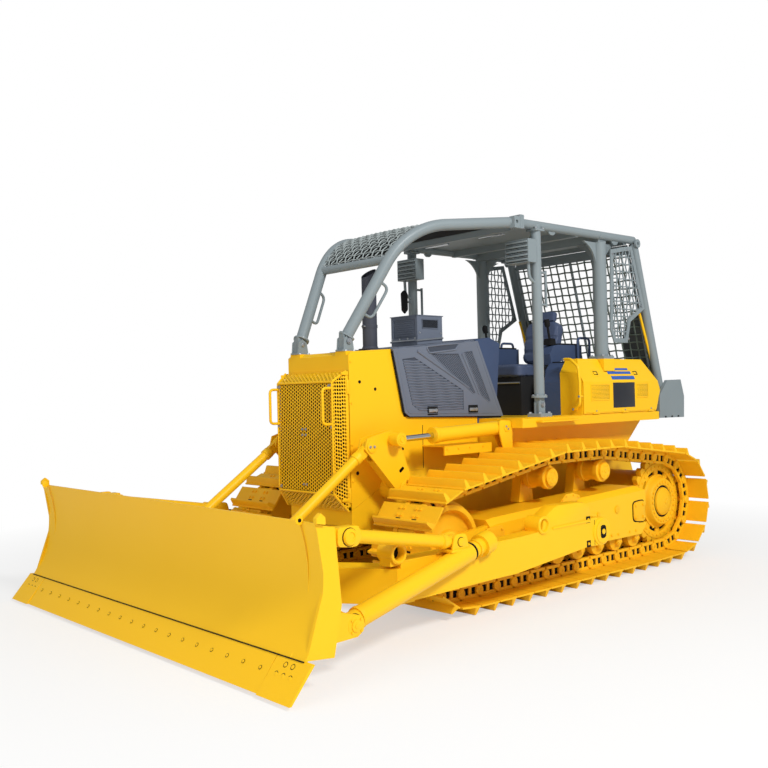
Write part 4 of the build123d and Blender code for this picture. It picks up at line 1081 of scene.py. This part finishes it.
# grey sheet between the side screen and the rear brace: painted shade seen through the mesh
shadeSheet = plateShape("y", screenFacts["shadeSheet"], 0, 4)
for vert in shadeSheet.verts:
    vert.co.y += onRear(0, vert.co.z, 0).y + 10
put(bm, shadeSheet, 1)
# painted edge strip along the rear brace
put(bm, rodShape((752, 122, 2388), (752, 436, 1634), 13, sides=12), 2)
mirrorAcross(bm)
# solid band between the roof and the top of the rear screen
put(bm, boxShape((-706, 24, 2938), (706, 32, 3034), 3), 3)
wires(bm, screenFacts["rear"], 0.0, 76, 8.5, lambda x, z, lift: onRear(x, z + lift * 0.5, lift), 8, 88, 0)
wires(bm, screenFacts["rear"], math.pi / 2, 88, 8.5, lambda x, z, lift: onRear(x + lift * 0.4, z, -lift), 8, 76, 0)
newPiece("rearMesh", bm, ["greenWire", "screenShade", "yellowEnamel", "canopyEnamel"], "chassis")

# Exhaust and air intake

bm = bmesh.new()
exhaustFacts = {"x": 60, "y": -2815}
x, y = exhaustFacts["x"], exhaustFacts["y"]
pipeShape = latheShape([(0, 55), (0, 61), (668, 61), (668, 55), (0, 55)], (x, y, 1996), (x, y, 2096), 40)
bmesh.ops.bisect_plane(pipeShape, geom=pipeShape.verts[:] + pipeShape.edges[:] + pipeShape.faces[:],
                       plane_co=(x, y, 2625), plane_no=(0, -0.55, 0.84), clear_outer=True)
put(bm, pipeShape, 0)
# dark disc down inside the pipe: painted shade
put(bm, rodShape((x, y, 2000), (x, y, 2008), 55, sides=32), 1)
put(bm, latheShape([(0, 61), (1, 65), (27, 65), (28, 61)], (x, y, 2170), (x, y, 2270), 40))
put(bm, boxShape((x - 8, y - 79, 2172), (x + 8, y - 59, 2196), 3))
disc(bm, x - 20, x + 20, y - 70, 2184, 6, 2, 12)
put(bm, latheShape([(0, 96), (8, 98), (10, 70), (26, 63), (26, 61)], (x, y, 1992), (x, y, 2092), 40))
newPiece("exhaustPipe", bm, ["stackEnamel", "deepShade", "zincPlate"], "chassis", ["exhaust_stack"])

bm = bmesh.new()
window = [(-2304, 2181), (-2116, 2181), (-2116, 2256), (-2304, 2256)]
put(bm, plateShape("x", window, 155, 156.5), 1)
put(bm, tubeShape([(163, y, z) for y, z in window], 5, 8, closed=True))
put(bm, rodShape((168, -2372, 2072), (168, -2060, 2100), 8, sides=12), 3)
bolts(bm, [(163, y, 2140) for y in (-2340, -2080)], (1, 0, 0), 8, 3)
mirrorAcross(bm)
for x in (160, -160):
    for angle in (0.7, -0.7):
        wires(bm, window, angle, 13, 1.8, lambda y, z, lift: (x, y, z), finish=2, sides=5)
put(bm, boxShape((-128, -2361, 2108), (128, -2357, 2254), 1.5), 0)
for z in range(2120, 2250, 18):
    put(bm, boxShape((-118, -2366, z), (118, -2358, z + 7), 2), 0)
put(bm, rodShape((-150, -2372, 2076), (150, -2372, 2076), 8, sides=12), 3)
bolts(bm, [(x, -2372, 2094) for x in (-140, -50, 50, 140)], (0, -1, 0), 7, 3)
newPiece("intakeTrim", bm, ["slateEnamel", "slateShade", "blackEnamel", "zincPlate"], "chassis")
print("canopy, screens and stacks done")


# Seat: two stuffed cushions, settled as cloth

seatFacts = {"voxel": 0.007, "puff": 0.014}


def simulate(piece, limit):
    before = [vert.co.copy() for vert in piece.data.vertices]
    cloth = piece.modifiers.new("cloth", "CLOTH")
    cloth.settings.use_pressure = True
    cloth.settings.uniform_pressure_force = 4.0
    cloth.settings.tension_stiffness = 12.0
    cloth.settings.compression_stiffness = 12.0
    cloth.settings.bending_stiffness = 0.4
    cloth.settings.effector_weights.gravity = 0.0
    cloth.point_cache.frame_start, cloth.point_cache.frame_end = 1, 20
    for step in range(1, 21):
        bpy.context.scene.frame_set(step)
    settled = piece.evaluated_get(bpy.context.evaluated_depsgraph_get()).to_mesh()
    after = [vert.co.copy() for vert in settled.vertices]
    piece.modifiers.remove(cloth)
    bpy.context.scene.frame_set(1)
    for vert, old, new in zip(piece.data.vertices, before, after):
        move = new - old
        vert.co = old + (move if move.length < limit else move.normalized() * limit)


# a padded block with two sewn lines across it; the top edge is softly rounded before the cloth swells it
def cushion(name, size, corner, place, seamAt, replaced):
    wide, deep, thick = size
    bm = bmesh.new()
    outline = bent([(0, -deep / 2, 0), (-wide / 2, -deep / 2, 0), (-wide / 2, deep / 2, 0), (wide / 2, deep / 2, 0),
                    (wide / 2, -deep / 2, 0), (0, -deep / 2, 0)], corner)
    put(bm, plateShape("z", [(p.x, p.y) for p in outline[:-1]], 0, thick))
    bmesh.ops.transform(bm, matrix=place, verts=bm.verts)
    piece = newPiece(name, bm, ["seatVinyl"], "chassis", replaced)
    remesh = piece.modifiers.new("even", "REMESH")
    remesh.mode = "VOXEL"
    remesh.voxel_size = seatFacts["voxel"]
    rounded = piece.modifiers.new("rounded", "SMOOTH")
    rounded.iterations = 12
    held = bpy.data.meshes.new_from_object(piece.evaluated_get(bpy.context.evaluated_depsgraph_get()))
    piece.modifiers.clear()
    piece.data = held
    # the sewn lines pull the cover down into the foam
    inverse = place.inverted()
    normal = (place.to_3x3() @ Vector((0, 0, 1))).normalized()
    for vert in held.vertices:
        local = inverse @ (Vector(vert.co) * 1000 - Vector((0, axleShift, 0)))
        if local.z > thick * 0.5:
            for line in seamAt:
                near = abs(local.y - line)
                if near < 26:
                    vert.co -= normal * 0.009 * (1 - near / 26) ** 0.6
    simulate(piece, seatFacts["puff"])
    held.shade_smooth()
    fine = piece.modifiers.new("fine", "SUBSURF")
    fine.levels = fine.render_levels = 1
    return piece


cushion("seatCushion", (452, 492, 96), 90, Matrix.Translation((0, -860, 1767)), (-90, 60), ["seat_cushion"])
leanAngle = math.atan2(1, 0.22)
backPlace = Matrix.Translation((0, -550, 1874)) @ Matrix.Rotation(leanAngle, 4, "X")
cushion("seatBack", (432, 452, 92), 110, backPlace @ Matrix.Translation((0, 236, -104)), (-100, 40), ["seat_back"])
print("seat settled")


# Cab: dash panel, lever boots, armrests, seat slides, headrest

cabFacts = {"leverX": 390, "hoopX": 478, "consoleX": 529, "gauges": (-150, -50, 50, 150)}
bm = bmesh.new()
# ribbed boot and knob of each lever
x = cabFacts["leverX"]
boot = [(0, 0), (0, 44)]
for k in range(5):
    boot += [(6 + 11 * k, 44 - 6 * k), (11 + 11 * k, 38 - 6 * k)]
boot += [(66, 14), (70, 0)]
put(bm, latheShape(boot, (x, -840, 2048), (x, -845, 2148), 28), 2)
put(bm, latheShape([(0, 0), (4, 20), (30, 27), (58, 24), (72, 12), (74, 0)], (x, -868, 2216), (x, -876, 2314), 28), 2)
# padded arm on the console, the hoop beside it and the switch panel
put(bm, boxShape((x - 52, -740, 2044), (x + 52, -440, 2066), 9), 2)
x = cabFacts["hoopX"]
put(bm, tubeShape(bent([(x, -520, 1880), (x, -520, 2118), (x, -330, 2118), (x, -330, 1880)], 45), 12, 12))
x = cabFacts["consoleX"]
put(bm, boxShape((x - 70, -900, 1876), (x + 70, -700, 1886), 4), 1)
for k in range(4):
    place = (x - 42 + 28 * k, -800)
    put(bm, rodShape((*place, 1884), (*place, 1896), 9, sides=20, bevel=2), 3)
put(bm, boxShape((128, -1040, 1744), (172, -640, 1766), 4), 1)
mirrorAcross(bm)
# instrument hood with a blank panel and gauges
put(bm, plateShape("x", [(-1700, 2040), (-1690, 2098), (-1560, 2054), (-1575, 2000)], -250, 250, 10))
put(bm, plateShape("x", [(-1560, 1996), (-1556, 2044), (-1552, 2042), (-1556, 1994)], -220, 220), 1)
gauge = [(0, 0), (0, 34), (5, 38), (9, 36), (9, 30), (5, 28), (5, 0)]
for x in cabFacts["gauges"]:
    put(bm, latheShape(gauge, (x, -1556, 2020), (x, -1456, 2028), 32), 3)
disc(bm, -200, 200, -1064, 1700, 9, 3, 12)
newPiece("cabFittings", bm, ["consolePlastic", "blackEnamel", "blackRubber", "zincPlate"], "chassis")

bm = bmesh.new()
put(bm, boxShape((-132, 452, -84), (132, 556, -8), 26), 0, backPlace)
for x in (-70, 70):
    put(bm, rodShape((x, 420, -48), (x, 470, -48), 8, sides=14), 1, backPlace)
newPiece("headrest", bm, ["seatVinyl", "zincPlate"], "chassis")
print("cab done")


# Stage, light and camera

stageFacts = {"floorSize": 60.0, "floorColour": "#F4F4F2", "worldStrength": 0.4, "clear": (2.0, 6.5)}
bm = bmesh.new()
bmesh.ops.create_grid(bm, x_segments=1, y_segments=1, size=stageFacts["floorSize"])
floorMesh = bpy.data.meshes.new("floor")
bm.to_mesh(floorMesh)
bm.free()
floor = bpy.data.objects.new("floor", floorMesh)
floor.location.z = -0.001
bpy.context.collection.objects.link(floor)
floorMaterial = bpy.data.materials.new("paleFloor")
floorMaterial.use_nodes = True
floorTree = floorMaterial.node_tree
floorShader = floorTree.nodes["Principled BSDF"]
floorShader.inputs["Base Color"].default_value = linear(stageFacts["floorColour"])
floorShader.inputs["Roughness"].default_value = 0.9
# beyond the machine's own shadow the floor clears to plain white, so no horizon shows
floorPlace = addNode(floorTree, "ShaderNodeTexCoord").outputs["Object"]
reach = addNode(floorTree, "ShaderNodeVectorMath", {"operation": "LENGTH"}, {0: floorPlace})
clearFrom, clearTo = stageFacts["clear"]
clearing = addNode(floorTree, "ShaderNodeMapRange", {"From Min": clearFrom, "From Max": clearTo, "To Min": 0.5},
                   {"Value": reach.outputs["Value"]})
floorRays = addNode(floorTree, "ShaderNodeLightPath")
shown = addNode(floorTree, "ShaderNodeMath", {"operation": "MULTIPLY"},
                {0: clearing.outputs["Result"], 1: floorRays.outputs["Is Camera Ray"]})
white = addNode(floorTree, "ShaderNodeEmission", {"Color": (1, 1, 1, 1), "Strength": 1.0})
floorBlend = addNode(floorTree, "ShaderNodeMixShader", {},
                     {0: shown.outputs[0], 1: floorShader.outputs[0], 2: white.outputs[0]})
floorTree.links.new(floorBlend.outputs[0], floorTree.nodes["Material Output"].inputs[0])
floorMesh.materials.append(floorMaterial)

world = bpy.context.scene.world or bpy.data.worlds.new("studio")
bpy.context.scene.world = world
world.use_nodes = True
worldTree = world.node_tree
worldTree.nodes.clear()
rays = addNode(worldTree, "ShaderNodeLightPath")
seen = addNode(worldTree, "ShaderNodeMath", {"operation": "MAXIMUM"},
               {0: rays.outputs["Is Camera Ray"], 1: rays.outputs["Is Transmission Ray"]})
lit = addNode(worldTree, "ShaderNodeBackground", {"Color": (1, 1, 1, 1), "Strength": stageFacts["worldStrength"]})
plain = addNode(worldTree, "ShaderNodeBackground", {"Color": (1, 1, 1, 1), "Strength": 1.0})
blendSky = addNode(worldTree, "ShaderNodeMixShader", {},
                   {0: seen.outputs[0], 1: lit.outputs[0], 2: plain.outputs[0]})
addNode(worldTree, "ShaderNodeOutputWorld", {}, {0: blendSky.outputs[0]})

lamps = {
    "keyLamp": {"from": (10.5, -2.2, 8.5), "size": 2.0, "watts": 1060.0},
    "frontLamp": {"from": (2.0, -11.0, 5.0), "size": 6.0, "watts": 235.0},
}
for name, facts in lamps.items():
    data = bpy.data.lights.new(name, "AREA")
    data.size = facts["size"]
    data.energy = facts["watts"]
    lamp = bpy.data.objects.new(name, data)
    lamp.location = facts["from"]
    lamp.rotation_euler = (Vector((0, 0, 1.0)) - Vector(facts["from"])).to_track_quat("-Z", "Y").to_euler()
    bpy.context.collection.objects.link(lamp)

view = {"azimuth": 47.66, "pitch": -0.58, "roll": -1.33, "lens": 43.31, "place": (5.78466, -5.75661, 1.62886)}
turn, tip, lean = (math.radians(view[key]) for key in ("azimuth", "pitch", "roll"))
look = Vector((-math.sin(turn) * math.cos(tip), math.cos(turn) * math.cos(tip), -math.sin(tip)))
right = Vector((math.cos(turn), math.sin(turn), 0))
up = right.cross(look)
across = math.cos(lean) * right + math.sin(lean) * up
upright = math.cos(lean) * up - math.sin(lean) * right
cameraData = bpy.data.cameras.new("camera")
cameraData.lens = view["lens"]
cameraData.sensor_width = 36.0
camera = bpy.data.objects.new("camera", cameraData)
camera.matrix_world = Matrix((
    (across.x, upright.x, -look.x, view["place"][0]),
    (across.y, upright.y, -look.y, view["place"][1]),
    (across.z, upright.z, -look.z, view["place"][2]),
    (0, 0, 0, 1)))
bpy.context.collection.objects.link(camera)
bpy.context.scene.camera = camera
bpy.context.scene.view_settings.view_transform = "Standard"
